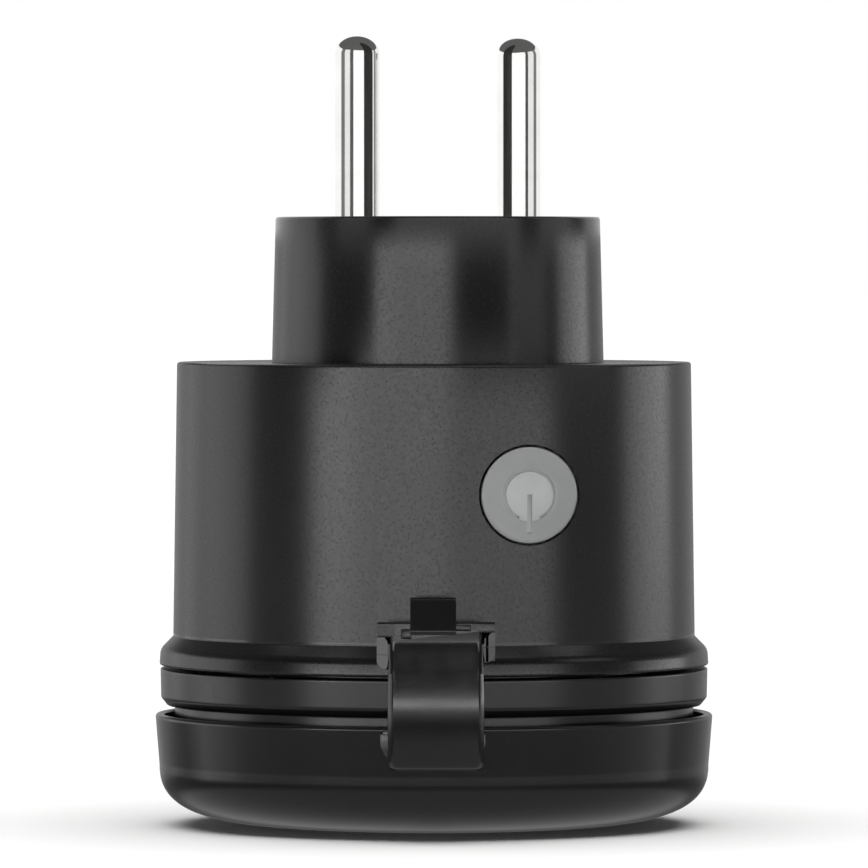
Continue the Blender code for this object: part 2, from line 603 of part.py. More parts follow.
def build_electronics(board, black, blue, steel, white):
    """The power board with its parts, and the control board behind the button."""
    power = rod("power_board", 24.6, *BOARD_Z, board, steps=32)
    for place in (boss_place((PIN_HALF_SPACING, 0)), boss_place((-PIN_HALF_SPACING, 0))):
        cut(power, rod("board_hole", 3.0, BOARD_Z[0] - 1, BOARD_Z[1] + 1, at=place, steps=16))
    earth = turned_at((0, EARTH_OFFSET))
    cut(power, rod("strap_hole", 2.6, BOARD_Z[0] - 1, BOARD_Z[1] + 1, at=earth, steps=16))
    top = BOARD_Z[0] - 0.4
    block("relay", (-9.5, 9.4, 32.1), (9.5, 22.2, top), blue, bevel=0.5, turn=PIN_TURN)
    block("transformer", (-12.8, -20.8, 32.1), (-0.3, -12.8, top), black, bevel=0.5)
    rod("capacitor", 4.5, 32.1, top, black, at=(14.5, -8.0), steps=24)
    varistor = rod("varistor", 4.5, -20.0, -16.5, blue, at=(0, 38.0), axis="X", steps=24)
    bpy.context.view_layer.update()
    varistor.matrix_world = Matrix.Rotation(PIN_TURN, 4, "Z") @ varistor.matrix_world
    rod("fuse", 2.3, 33.5, top, white, at=turned_at((19.0, 0)), steps=16)
    low, high = CONTROL_BOARD_Y
    block("control_board", (1.0, low, 32.1), (18.5, high, top), board)
    block("wifi_module", (2.0, low - 2.4, 38.6), (17.6, low - GAP, top - 0.2), steel, bevel=0.2)
    switch = block("tact_switch", (7.3, low - 2.1, 32.8), (12.3, low - GAP, 37.8), black, bevel=0.2)
    bore = (BUTTON_X, BUTTON_Z)
    cut(switch, rod("switch_bore", 1.15, low - 3, low - 0.7, at=bore, axis="Y", steps=16))
    plunger = rod("switch_plunger", 0.9, low - 2.6, low - 1.6, white, at=bore, axis="Y", steps=16)
    block("status_led", (14.2, low - 1.3, 34.5), (15.8, low - GAP, 36.1), white, bevel=0.1)
    return [plunger]


def build_button(cap):
    """The round button: its face follows the housing wall, and a flange keeps it in."""
    centre = (BUTTON_X, BUTTON_Z)
    button = rod("power_button", BUTTON_RADIUS, -30, -19.2, cap, at=centre, axis="Y", steps=32)
    reach = BODY_FOOT_RADIUS - 0.2 + BUTTON_PROUD
    face = [(0, 50), (reach, 50), (reach, 20), (0, 20)]
    boolean(button, turned("button_face", face, steps=96), "INTERSECT")
    add(button, rod("button_flange", BUTTON_RADIUS + 0.9, *BUTTON_FLANGE_Y, at=centre, axis="Y", steps=32))
    add(button, rod("button_stem", 1.2, -19.0, BUTTON_STEM_Y, at=centre, axis="Y", steps=16))
    return [button]


def build_fasteners(metal, rubber):
    ring = arc((26.15, 15.87), (0.6, 0.6), 90, -225, 7)
    turned("housing_seal", ring, rubber, closed=True)
    profile = [(0, 27.0), (0.6, 27.0), (0.85, 26.0), (0.85, 14.0), (1.6, 14.0), (1.6, 12.9), (1.4, 12.75), (0, 12.75)]
    for number, angle in enumerate(SCREW_ANGLES, 1):
        screw = turned(f"housing_screw_{number}", profile, metal, at=screw_place(angle), steps=12)
        for turn in (0, math.pi / 2):
            slot = block("drive_slot", (-1.0, -0.2, 12.0), (1.0, 0.2, 13.3))
            slot.matrix_world = (
                Matrix.Translation([v * MM for v in (*screw_place(angle), 0)])
                @ Matrix.Rotation(turn, 4, "Z")
                @ slot.matrix_world
            )
            cut(screw, slot)


clear_scene()
PARTS = make_collection("smart_plug")
CUTTERS = make_collection("cutters")

housing_black = make_material("housing_black", (0.022, 0.022, 0.024), 0.5)
gloss_black = make_material("latch_gloss", (0.012, 0.012, 0.013), 0.18)
button_grey = make_material("button_grey", (0.30, 0.31, 0.32), 0.4)
nickel = make_material("nickel_plate", (0.78, 0.78, 0.77), 0.16, 1.0)
brass_metal = make_material("brass", (0.72, 0.56, 0.30), 0.32, 1.0)
seal_rubber = make_material("seal_rubber", (0.03, 0.03, 0.03), 0.75)
insulator_grey = make_material("insulator", (0.55, 0.55, 0.52), 0.55)
board_green = make_material("circuit_board", (0.02, 0.16, 0.07), 0.45)
component_black = make_material("component_black", (0.02, 0.02, 0.02), 0.4)
component_blue = make_material("component_blue", (0.03, 0.12, 0.42), 0.4)
tin_steel = make_material("tin_steel", (0.6, 0.6, 0.62), 0.35, 1.0)
ceramic_white = make_material("ceramic_white", (0.8, 0.8, 0.78), 0.5)

build_housing(housing_black)
build_collar(housing_black)
lid_pieces = build_lid(housing_black, seal_rubber)
build_hinge(nickel)
latch_pieces = build_latch(gloss_black, nickel)
build_pins(nickel, brass_metal, housing_black)
shutter_pieces = build_contacts(brass_metal, insulator_grey)
plunger_pieces = build_electronics(board_green, component_black, component_blue, tin_steel, ceramic_white)
button_pieces = build_button(button_grey)
build_fasteners(nickel, seal_rubber)

on_axis("lid_axis", (0, HINGE_Y, HINGE_Z), lid_pieces)
on_axis("latch_axis", (LATCH_X, LATCH_Y, LATCH_Z), latch_pieces)
on_axis("shutter_axis", (0, 0, SHUTTER_Z[0]), shutter_pieces)
on_axis("button_axis", (BUTTON_X, BUTTON_FLANGE_Y[0], BUTTON_Z), button_pieces)
on_axis("plunger_axis", (BUTTON_X, CONTROL_BOARD_Y[0] - 2.6, BUTTON_Z), plunger_pieces)
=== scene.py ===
"""Looks of an outdoor smart plug: fine surfaces, materials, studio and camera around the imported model."""

import math

import bmesh
import bpy
from mathutils import Matrix, Vector


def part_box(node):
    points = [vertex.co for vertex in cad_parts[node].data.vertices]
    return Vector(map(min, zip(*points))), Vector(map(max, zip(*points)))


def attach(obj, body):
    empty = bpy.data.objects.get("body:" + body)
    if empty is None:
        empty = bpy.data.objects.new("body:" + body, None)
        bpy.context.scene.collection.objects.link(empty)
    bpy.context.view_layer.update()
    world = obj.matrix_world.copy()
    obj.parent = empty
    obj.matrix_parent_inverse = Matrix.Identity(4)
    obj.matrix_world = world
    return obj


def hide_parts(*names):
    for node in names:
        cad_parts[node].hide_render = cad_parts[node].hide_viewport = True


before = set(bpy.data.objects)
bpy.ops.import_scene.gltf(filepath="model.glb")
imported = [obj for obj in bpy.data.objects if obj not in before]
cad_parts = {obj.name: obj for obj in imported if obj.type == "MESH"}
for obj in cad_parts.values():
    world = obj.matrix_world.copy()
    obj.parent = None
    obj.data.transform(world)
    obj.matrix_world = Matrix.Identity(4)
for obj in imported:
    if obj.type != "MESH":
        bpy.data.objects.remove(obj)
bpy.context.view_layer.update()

MM = 0.001
FINE_STEPS = 288
ROUND_STEPS = 96
# A point nearer the axis than this is one vertex instead of a ring
ON_AXIS = 1e-4
SHARP_ANGLE = math.radians(32)


def box_mm(node):
    """A CAD node's lowest and highest corners in millimetres."""
    low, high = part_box(node)
    return low / MM, high / MM


def centre_mm(node):
    low, high = box_mm(node)
    return (low + high) / 2


# Driving dimensions in millimetres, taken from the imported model
LID_LOW, LID_HIGH = box_mm("lid_shell")
HOUSING_HIGH = box_mm("main_housing")[1]
COLLAR_LOW, COLLAR_HIGH = box_mm("front_collar")
BUTTON_HIGH = box_mm("power_button")[1]
LEVER_LOW, LEVER_HIGH = box_mm("latch_lever")
SEAL_LOW, SEAL_HIGH = box_mm("lid_seal")

LID_RADIUS = LID_HIGH.x
LID_RIM_Z = LID_LOW.z + 11.6
LID_CORNER_Z = LID_LOW.z + 6.3
LID_CORNER_RADIUS = LID_RADIUS - 0.42
LID_FLAT_RADIUS = 12.0
LID_FULLNESS = (3.48, 2.53)
LID_WALL = 1.8
LID_LEDGE = (7.4, 8.6)
LID_LEDGE_RADIUS = 25.8
LID_MOUTH_RADIUS = 28.5

COLLAR_RADIUS = COLLAR_HIGH.x
COLLAR_FACE_Z = COLLAR_LOW.z + 1.8
COLLAR_TOP_Z = COLLAR_FACE_Z + 3.9
LIP_RADIUS = (27.0, 28.2)
LIP_NECK_RADIUS = 27.4
RECESS_RADIUS = 19.9
RECESS_FLOOR_Z = COLLAR_HIGH.z - 2.0
CUP_RADIUS = 21.5
SPIGOT_RADIUS = 25.1
SEAL_SEAT = (27.2, COLLAR_TOP_Z - 1.45)

BEAD_RADIUS = HOUSING_HIGH.x
HOUSING_FOOT_Z = COLLAR_TOP_Z + 0.35
BEAD_TOP_Z = HOUSING_FOOT_Z + 3.05
FOOT_LINE = (0.1, 0.32)
BODY_TOP_Z = 48.7
BODY_FOOT_RADIUS = 27.55
BODY_TOP_RADIUS = 27.14
BODY_CAVITY_RADIUS = 25.5
BOSS_TOP_Z = HOUSING_HIGH.z
BOSS_X = centre_mm("pin_carrier").x
BOSS_FOOT_RADIUS = 17.52
BOSS_TOP_RADIUS = 17.12
BOSS_CAVITY_RADIUS = 15.5
WALL = 2.0
CARRIER_RADIUS = 15.2

PIN_RADIUS = 2.4
PIN_PLACES = {name: centre_mm(name) for name in ("plug_pin_neutral", "plug_pin_live")}
EARTH_ENTRY = centre_mm("earth_receptacle")
EARTH_ENTRY_RADIUS = 3.45
EARTH_PIN = centre_mm("socket_earth_pin")
CONTACTS = [centre_mm(name) for name in ("socket_contact_neutral", "socket_contact_live")]
CONTACT_HOLE_RADIUS = 2.7
SCREWS = {f"housing_screw_{n}": centre_mm(f"housing_screw_{n}") for n in range(1, 5)}

BUTTON = centre_mm("power_button")
BUTTON_RADIUS = 4.95
BUTTON_GAP = 0.25
BUTTON_PROUD = 0.12
# Radius, front y and rear y of the flange, then radius and rear y of the stem
BUTTON_FLANGE = (5.85, -19.5, -18.7)
BUTTON_STEM = (1.2, BUTTON_HIGH.y)
SYMBOL_RADII = (2.38, 2.69)
SYMBOL_OPENING = 26
SYMBOL_BAR = (0.57, 3.96)
SYMBOL_DEPTH = 0.22

HINGE = centre_mm("hinge_pin")
HINGE_PIN_RADIUS = 1.0
KNUCKLE_RADIUS = 2.3
ARM_HALF_WIDTH = 4.6
HINGE_EAR_X = (4.9, 6.9)
SPRING_SLOT_HALF = 1.9
LATCH = centre_mm("latch_pin")
LATCH_PIN_RADIUS = 0.8
LATCH_BARREL_RADIUS = 1.5
LATCH_NECK_HALF = 4.4
# Width and depth of the slanted rims between the flap's face and its sides
LATCH_RIM = (0.5, 0.72)
LATCH_TAB_X = (-2.42, 2.25)
# Left, right, low and high of the slots beside the tab
LATCH_SLOTS = ((-3.35, -2.3, 20.85, 21.87), (2.15, 3.76, 21.66, 22.27))
# Height, front face and half width of the flap, from its foot to its top
LATCH_ROWS = (
    (7.34, -31.95, 4.40),
    (7.40, -32.15, 4.58),
    (7.50, -32.45, 4.69),
    (7.64, -32.75, 4.76),
    (7.85, -32.95, 4.80),
    (8.30, -33.13, 4.83),
    (9.00, -33.33, 4.85),
    (10.00, -33.56, 4.88),
    (11.00, -33.72, 4.91),
    (12.00, -33.86, 4.93),
    (12.80, -33.922, 4.93),
    (13.40, -33.943, 4.93),
    (13.80, -33.945, 4.93),
    (14.20, -33.937, 4.93),
    (15.00, -33.89, 4.92),
    (16.00, -33.79, 4.90),
    (17.30, -33.65, 4.86),
    (17.34, -33.645, 4.858),
    (18.30, -33.53, 4.80),
    (19.30, -33.42, 4.74),
    (20.20, -33.31, 4.66),
    (20.90, -33.20, 4.62),
    (21.15, -33.10, 4.62),
)
# Height and y of the flap's inner face, up to where only the thin skin goes on
FLAP_BACK = ((7.3, -31.6), (9, -31.5), (14, -32.3), (17.32, -32.2))
LATCH_SKIN_BACK_Y = -32.96
BRACKET_Z = (17.7, 21.42)
BRACKET_HALVES = (4.7, 6.05)
EAR_NOSE_Y = -32.9
EAR_SLANT = ((4.52, -33.5), (6.54, -30.4))
ROOT_Y = 25.8
CATCH_FRONT_Y = -30.6
BORE_CLEARANCE = 0.12


# ---------------------------------------------------------------- mesh tools


def new_object(name, mesh):
    obj = bpy.data.objects.new(name, mesh)
    bpy.context.scene.collection.objects.link(obj)
    return obj


def finish_form(name, form):
    """Turns a bmesh in metres into an object with smooth shading and crisp edges."""
    bmesh.ops.recalc_face_normals(form, faces=form.faces)
    mesh = bpy.data.meshes.new(name)
    form.to_mesh(mesh)
    form.free()
    mesh.shade_smooth()
    mesh.set_sharp_from_angle(angle=SHARP_ANGLE)
    return new_object(name, mesh)


def arc(centre, radii, start, end, steps):
    """Points (u, v) on an ellipse arc, angles in degrees."""
    points = []
    for i in range(steps + 1):
        angle = math.radians(start + (end - start) * i / steps)
        u, v = radii[0] * math.cos(angle), radii[1] * math.sin(angle)
        points.append(Vector((centre[0] + u, centre[1] + v)))
    return points


def rounded(corners, closed=False, steps=5):
    """An outline from (u, v, fillet radius) corners. A fillet of 0 leaves the corner sharp.

    A point just before and after each fillet on long sides keeps the flats flat under smooth shading.
    """
    points = []
    for i, (u, v, fillet) in enumerate(corners):
        here = Vector((u, v))
        if not fillet or (not closed and i in (0, len(corners) - 1)):
            points.append(here)
            continue
        before = Vector(corners[i - 1][:2]) - here
        after = Vector(corners[(i + 1) % len(corners)][:2]) - here
        to_before, to_after = before.normalized(), after.normalized()
        half = to_before.angle(to_after) / 2
        if half > math.radians(89):
            points.append(here)
            continue
        reach = fillet / math.tan(half)
        centre = here + (to_before + to_after).normalized() * (fillet / math.sin(half))
        first = (here + to_before * reach - centre).normalized()
        last = (here + to_after * reach - centre).normalized()
        if before.length > 4 * reach + 0.6:
            points.append(here + to_before * (reach + 0.12))
        points += [centre + first.slerp(last, k / steps) * fillet for k in range(steps + 1)]
        if after.length > 4 * reach + 0.6:
            points.append(here + to_after * (reach + 0.12))
    return points


def lathe(name, outline, at=(0, 0), steps=FINE_STEPS, closed=False):
    """A turned surface from (radius, z) points, its faces always in the same order."""
    form = bmesh.new()
    rings = []
    for radius, z in outline:
        ring = []
        for i in range(steps if radius > ON_AXIS else 1):
            angle = 2 * math.pi * i / steps
            x, y = at[0] + radius * math.cos(angle), at[1] + radius * math.sin(angle)
            ring.append(form.verts.new(Vector((x, y, z)) * MM))
        rings.append(ring)
    pairs = list(zip(rings, rings[1:]))
    if closed:
        pairs.append((rings[-1], rings[0]))
    for first, second in pairs:
        for i in range(steps):
            ends = [ring[k % len(ring)] for ring, k in ((first, i), (first, i + 1), (second, i + 1), (second, i))]
            corners = list(dict.fromkeys(ends))
            if len(corners) > 2:
                form.faces.new(corners)
    bmesh.ops.remove_doubles(form, verts=form.verts, dist=1e-7)
    return finish_form(name, form)


def cylinder(name, radius, low, high, at, axis="Z", steps=ROUND_STEPS, bevel=0.0):
    """A cylinder along an axis, its rims rounded. at holds its two other coordinates, in X, Y, Z order."""
    form = bmesh.new()
    bmesh.ops.create_cone(
        form, cap_ends=True, segments=steps, radius1=radius * MM, radius2=radius * MM, depth=(high - low) * MM
    )
    if bevel:
        rims = [e for e in form.edges if abs(e.verts[0].co.z - e.verts[1].co.z) < 1e-6]
        bmesh.ops.bevel(form, geom=rims, offset=bevel * MM, segments=3, profile=0.5, affect="EDGES")
    middle = (low + high) / 2
    if axis == "Z":
        place = Matrix.Translation(Vector((at[0], at[1], middle)) * MM)
    elif axis == "Y":
        place = Matrix.Translation(Vector((at[0], middle, at[1])) * MM) @ Matrix.Rotation(math.pi / 2, 4, "X")
    else:
        place = Matrix.Translation(Vector((middle, at[0], at[1])) * MM) @ Matrix.Rotation(math.pi / 2, 4, "Y")
    bmesh.ops.transform(form, matrix=place, verts=form.verts)
    return finish_form(name, form)


def prism(name, outline, low, high, plane="YZ", bevel=0.0, segments=4):
    """A flat outline given a thickness, its two rims rounded. Plane YZ runs along X, and plane XZ along Y."""
    form = bmesh.new()
    rings = []
    for end in (low, high):
        ring = []
        for u, v in outline:
            place = (end, u, v) if plane == "YZ" else (u, end, v)
            ring.append(form.verts.new(Vector(place) * MM))
        rings.append(ring)
    caps = [form.faces.new(rings[0]), form.faces.new(reversed(rings[1]))]
    count = len(outline)
    for i in range(count):
        j = (i + 1) % count
        form.faces.new((rings[0][j], rings[0][i], rings[1][i], rings[1][j]))
    if bevel:
        rims = list(dict.fromkeys(edge for cap in caps for edge in cap.edges))
        bmesh.ops.bevel(
            form,
            geom=rims,
            offset=bevel * MM,
            segments=segments,
            profile=0.5,
            affect="EDGES",
            clamp_overlap=True,
        )
    return finish_form(name, form)


def block(name, low, high, bevel=0.0, turn=0.0):
    """A box between two corners, its edges rounded, turned about the body axis."""
    form = bmesh.new()
    size = Vector(high) - Vector(low)
    bmesh.ops.create_cube(form, size=1.0, matrix=Matrix.Diagonal((*(size * MM), 1.0)))
    if bevel:
        bmesh.ops.bevel(
            form, geom=list(form.edges), offset=bevel * MM, segments=4, profile=0.5, affect="EDGES"
        )
    place = Matrix.Rotation(turn, 4, "Z") @ Matrix.Translation((Vector(high) + Vector(low)) / 2 * MM)
    bmesh.ops.transform(form, matrix=place, verts=form.verts)
    return finish_form(name, form)


def boolean(obj, operation, *tools):
    """Joins or cuts with each tool in turn, then removes the tools."""
    for tool in tools:
        modifier = obj.modifiers.new(tool.name, "BOOLEAN")
        modifier.operation = operation
        modifier.object = tool
        modifier.solver = "EXACT"
    bpy.context.view_layer.update()
    evaluated = obj.evaluated_get(bpy.context.evaluated_depsgraph_get())
    mesh = bpy.data.meshes.new_from_object(evaluated)
    obj.modifiers.clear()
    old = obj.data
    obj.data = mesh
    bpy.data.meshes.remove(old)
    for tool in tools:
        bpy.data.objects.remove(tool, do_unlink=True)
    mesh.shade_smooth()
    mesh.set_sharp_from_angle(angle=SHARP_ANGLE)
    return obj


def add(obj, *tools):
    return boolean(obj, "UNION", *tools)


def cut(obj, *tools):
    return boolean(obj, "DIFFERENCE", *tools)


def coil(name, points, radius):
    """A round wire along points in millimetres."""
    curve = bpy.data.curves.new(name, "CURVE")
    curve.dimensions = "3D"
    curve.bevel_depth = radius * MM
    curve.bevel_resolution = 4
    curve.use_fill_caps = True
    spline = curve.splines.new("POLY")
    spline.points.add(len(points) - 1)
    for point, place in zip(spline.points, points):
        point.co = (*(Vector(place) * MM), 1)
    return new_object(name, curve)


def dress(obj, material, body, slot, *replaced):
    """Material, body, record slot (not used) and the CAD nodes that a piece stands for.

    A painted piece has two materials by now, and keeps them.
    """
    if len(obj.data.materials) < 2:
        obj.data.materials.clear()
        obj.data.materials.append(material)
    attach(obj, body)
    if replaced:
        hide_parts(*replaced)
    return obj


# ---------------------------------------------------------------- materials


# The part of a noise texture's output that most of its values fall in
NOISE_RANGE = (0.3, 0.7)


class Shader:
    """A Principled material whose colour, roughness and bump come from noise in object space."""

    def __init__(self, name, colour, roughness, metallic=0.0, **sockets):
        self.material = bpy.data.materials.new(name)
        self.material.use_nodes = True
        self.nodes = self.material.node_tree.nodes
        self.links = self.material.node_tree.links
        self.shader = self.nodes["Principled BSDF"]
        self.place = self.nodes.new("ShaderNodeTexCoord").outputs["Object"]
        self.normal = None
        self.set("Base Color", (*colour, 1.0))
        self.set("Roughness", roughness)
        self.set("Metallic", metallic)
        for socket, value in sockets.items():
            self.set(socket.replace("_", " "), value)

    def set(self, socket, value):
        self.shader.inputs[socket].default_value = value

    def noise(self, size_mm, detail=3.0, stretch=(1, 1, 1), roughness=0.55):
        """Noise whose features are about size_mm across, drawn out along an axis by stretch."""
        mapping = self.nodes.new("ShaderNodeMapping")
        mapping.inputs["Scale"].default_value = stretch
        self.links.new(self.place, mapping.inputs["Vector"])
        noise = self.nodes.new("ShaderNodeTexNoise")
        noise.inputs["Scale"].default_value = 1 / (size_mm * MM)
        noise.inputs["Detail"].default_value = detail
        noise.inputs["Roughness"].default_value = roughness
        self.links.new(mapping.outputs["Vector"], noise.inputs["Vector"])
        return noise.outputs["Fac"]

    def remap(self, value, low, high):
        """Stretches a texture's usual range between two numbers."""
        remap = self.nodes.new("ShaderNodeMapRange")
        remap.inputs["From Min"].default_value = NOISE_RANGE[0]
        remap.inputs["From Max"].default_value = NOISE_RANGE[1]
        remap.inputs["To Min"].default_value = low
        remap.inputs["To Max"].default_value = high
        self.links.new(value, remap.inputs["Value"])
        return remap.outputs["Result"]

    def vary_roughness(self, value, low, high):
        self.links.new(self.remap(value, low, high), self.shader.inputs["Roughness"])
        return self

    def vary_colour(self, value, dark, light):
        ramp = self.nodes.new("ShaderNodeValToRGB")
        ramp.color_ramp.elements[0].position = NOISE_RANGE[0]
        ramp.color_ramp.elements[1].position = NOISE_RANGE[1]
        ramp.color_ramp.elements[0].color = (*dark, 1.0)
        ramp.color_ramp.elements[1].color = (*light, 1.0)
        self.links.new(value, ramp.inputs["Fac"])
        self.links.new(ramp.outputs["Color"], self.shader.inputs["Base Color"])
        return self

    def bump(self, value, strength, depth_mm):
        node = self.nodes.new("ShaderNodeBump")
        node.inputs["Strength"].default_value = strength
        node.inputs["Distance"].default_value = depth_mm * MM
        self.links.new(value, node.inputs["Height"])
        if self.normal:
            self.links.new(self.normal, node.inputs["Normal"])
        self.normal = node.outputs["Normal"]
        self.links.new(self.normal, self.shader.inputs["Normal"])
        return self


def grained_plastic():
    """Satin black moulding with a fine spark-eroded grain."""
    s = Shader("grained_black_plastic", (0.004, 0.004, 0.0043), 0.25, Specular_IOR_Level=0.5)
    s.vary_colour(s.noise(9.0, 2.0), (0.0035, 0.0035, 0.0038), (0.0055, 0.0055, 0.0058))
    s.vary_roughness(s.noise(0.3, 4.0), 0.21, 0.29)
    s.bump(s.noise(0.22, 4.0, roughness=0.7), 0.5, 0.005)
    return s.material


def smooth_plastic():
    """The plug boss and collar: the same plastic with a finer grain."""
    s = Shader("fine_black_plastic", (0.0035, 0.0035, 0.0037), 0.22, Specular_IOR_Level=0.5)
    s.vary_colour(s.noise(9.0, 2.0), (0.003, 0.003, 0.0032), (0.0048, 0.0048, 0.005))
    s.vary_roughness(s.noise(0.5, 4.0), 0.2, 0.26)
    s.bump(s.noise(0.16, 3.0), 0.35, 0.008)
    return s.material


def lid_plastic():
    """The same plastic as the body, moulded with a glossier finish for the lid."""
    s = Shader("lid_black_plastic", (0.004, 0.004, 0.0043), 0.19, Specular_IOR_Level=0.5)
    s.vary_colour(s.noise(9.0, 2.0), (0.0035, 0.0035, 0.0038), (0.0055, 0.0055, 0.0058))
    s.vary_roughness(s.noise(0.3, 4.0), 0.15, 0.21)
    s.bump(s.noise(0.22, 4.0, roughness=0.7), 0.5, 0.005)
    return s.material


def gloss_plastic():
    """The latch's smooth moulding."""
    s = Shader("gloss_black_plastic", (0.004, 0.004, 0.0042), 0.16, Specular_IOR_Level=0.55)
    s.vary_roughness(s.noise(2.2, 5.0), 0.14, 0.19)
    s.vary_colour(s.noise(6.0, 2.0), (0.003, 0.003, 0.0032), (0.005, 0.005, 0.0053))
    s.bump(s.noise(0.22, 4.0, roughness=0.7), 0.6, 0.009)
    return s.material


def edge_plastic():
    """Rubbed edges and the ear fronts, almost polished."""
    s = Shader("polished_black_edge", (0.004, 0.004, 0.0042), 0.09, Specular_IOR_Level=0.6)
    s.vary_roughness(s.noise(1.6, 4.0), 0.07, 0.12)
    s.vary_colour(s.noise(6.0, 2.0), (0.003, 0.003, 0.0032), (0.005, 0.005, 0.0053))
    s.bump(s.noise(0.5, 2.0), 0.3, 0.003)
    return s.material


def polished_nickel():
    s = Shader("polished_nickel", (0.86, 0.855, 0.84), 0.07, 1.0)
    s.vary_roughness(s.noise(0.5, 4.0, (1, 1, 0.06)), 0.045, 0.11)
    s.vary_colour(s.noise(3.0, 3.0), (0.82, 0.815, 0.80), (0.89, 0.885, 0.87))
    s.bump(s.noise(0.12, 2.0, (1, 1, 0.02)), 0.05, 0.004)
    return s.material


def frosted_cap(name, grey):
    """Grey translucent moulding that light can shine through."""
    s = Shader(name, (grey, grey * 1.01, grey * 1.02), 0.34, Specular_IOR_Level=0.5, Subsurface_Weight=0.35)
    s.set("Subsurface Radius", (1.0, 1.0, 1.0))
    s.set("Subsurface Scale", 0.0008)
    dark = (grey * 0.95, grey * 0.96, grey * 0.97)
    light = (grey * 1.06, grey * 1.07, grey * 1.08)
    s.vary_colour(s.noise(3.5, 3.0), dark, light)
    s.vary_roughness(s.noise(0.8, 3.0), 0.28, 0.42)
    s.bump(s.noise(0.3, 2.0), 0.12, 0.01)
    return s.material


def rubber():
    s = Shader("seal_rubber", (0.012, 0.012, 0.012), 0.72, Specular_IOR_Level=0.35)
    s.vary_roughness(s.noise(0.4, 4.0), 0.6, 0.85)
    s.vary_colour(s.noise(4.0, 3.0), (0.01, 0.01, 0.01), (0.018, 0.018, 0.018))
    s.bump(s.noise(0.15, 3.0), 0.25, 0.01)
    return s.material


def brushed_metal(name, dark, light, low=0.25, high=0.42):
    s = Shader(name, light, (low + high) / 2, 1.0)
    s.vary_roughness(s.noise(0.3, 4.0, (1, 1, 0.1)), low, high)
    s.vary_colour(s.noise(2.0, 3.0), dark, light)
    s.bump(s.noise(0.1, 2.0, (1, 1, 0.05)), 0.15, 0.004)
    return s.material


def moulded(name, dark, light, low=0.38, high=0.55):
    """A plain moulded or coated surface with a little mottling."""
    s = Shader(name, light, (low + high) / 2)
    s.vary_colour(s.noise(3.0, 4.0), dark, light)
    s.vary_roughness(s.noise(0.6, 3.0), low, high)
    s.bump(s.noise(0.25, 2.0), 0.2, 0.01)
    return s.material


# ---------------------------------------------------------------- object pieces


def lid_corner(shrink=0.0, steps=28):
    """(radius, z) points of the lid's soft lower corner, from its side to its flat bottom."""
    side, floor = (2 / fullness for fullness in LID_FULLNESS)
    points = []
    for i in range(steps + 1):
        angle = math.pi / 2 * i / steps
        radius = LID_FLAT_RADIUS + (LID_CORNER_RADIUS - LID_FLAT_RADIUS) * max(math.cos(angle), 0.0) ** side
        height = LID_LOW.z + (LID_CORNER_Z - LID_LOW.z) * (1 - math.sin(angle) ** floor)
        points.append(Vector((radius - shrink, height + shrink)))
    return points


def make_lid(plastic):
    mouth = rounded(
        [
            (LID_LEDGE_RADIUS, LID_LEDGE[0], 0),
            (LID_LEDGE_RADIUS, LID_LEDGE[1], 0.15),
            (LID_MOUTH_RADIUS, LID_LEDGE[1], 0.1),
            (LID_MOUTH_RADIUS, LID_RIM_Z, 0.2),
            (LID_RADIUS, LID_RIM_Z, 0.3),
            (*lid_corner()[0], 0),
        ]
    )
    inner = [p for p in lid_corner(LID_WALL) if p.y < LID_LEDGE[0] - 0.3]
    side = (LID_RADIUS - LID_CORNER_RADIUS) / (LID_RIM_Z - LID_CORNER_Z)
    hold = Vector((LID_CORNER_RADIUS + 0.3 * side, LID_CORNER_Z + 0.3))
    outline = mouth[:-1] + [hold] + lid_corner()
    outline += [Vector((0, LID_LOW.z)), Vector((0, LID_LOW.z + LID_WALL))]
    outline += list(reversed(inner)) + [Vector((inner[0].x, LID_LEDGE[0]))]
    lid = lathe("lid_cover", outline, closed=True)
    catch = [(-5.5, 11.25, 0.3), (-5.5, 9.9, 0.8), (-4.7, 8.3, 0.8), (4.6, 8.3, 0.8), (5.25, 9.9, 0.8)]
    catch.append((5.25, 11.25, 0.3))
    add(
        lid,
        prism("catch", rounded(catch, closed=True), CATCH_FRONT_Y, -28.75, "XZ", bevel=0.25),
        lid_arm(),
        *(knuckle(sign) for sign in (-1, 1)),
    )
    reach = HINGE_EAR_X[1] + 1
    place = (HINGE.y, HINGE.z)
    bore = cylinder("bore", HINGE_PIN_RADIUS + BORE_CLEARANCE, -reach, reach, place, "X", steps=48)
    cut(lid, bore)
    dress(lid, plastic, "lid", "housing_black", "lid_shell")


def lid_arm():
    """The arm from the lid's rim up to the hinge knuckles."""
    back, front = HINGE.y + KNUCKLE_RADIUS, HINGE.y - KNUCKLE_RADIUS
    corners = [(28.75, 7.0, 0), (31.2, 7.1, 1.5), (back, 8.6, 2.2), (back, HINGE.z - 2.4, 0)]
    corners += [(front, HINGE.z - 2.4, 0), (front, LID_RIM_Z + 0.4, 0.3), (28.75, LID_RIM_Z - 0.2, 0)]
    return prism("arm", rounded(corners, closed=True), -ARM_HALF_WIDTH, ARM_HALF_WIDTH, bevel=0.4)


def knuckle(sign):
    outline = arc((HINGE.y, HINGE.z), (KNUCKLE_RADIUS, KNUCKLE_RADIUS), 0, 180, 32)
    outline += [Vector((HINGE.y + side * KNUCKLE_RADIUS, HINGE.z - 3.2)) for side in (-1, 1)]
    ends = sorted((sign * SPRING_SLOT_HALF, sign * ARM_HALF_WIDTH))
    return prism("knuckle", outline, *ends, bevel=0.2)


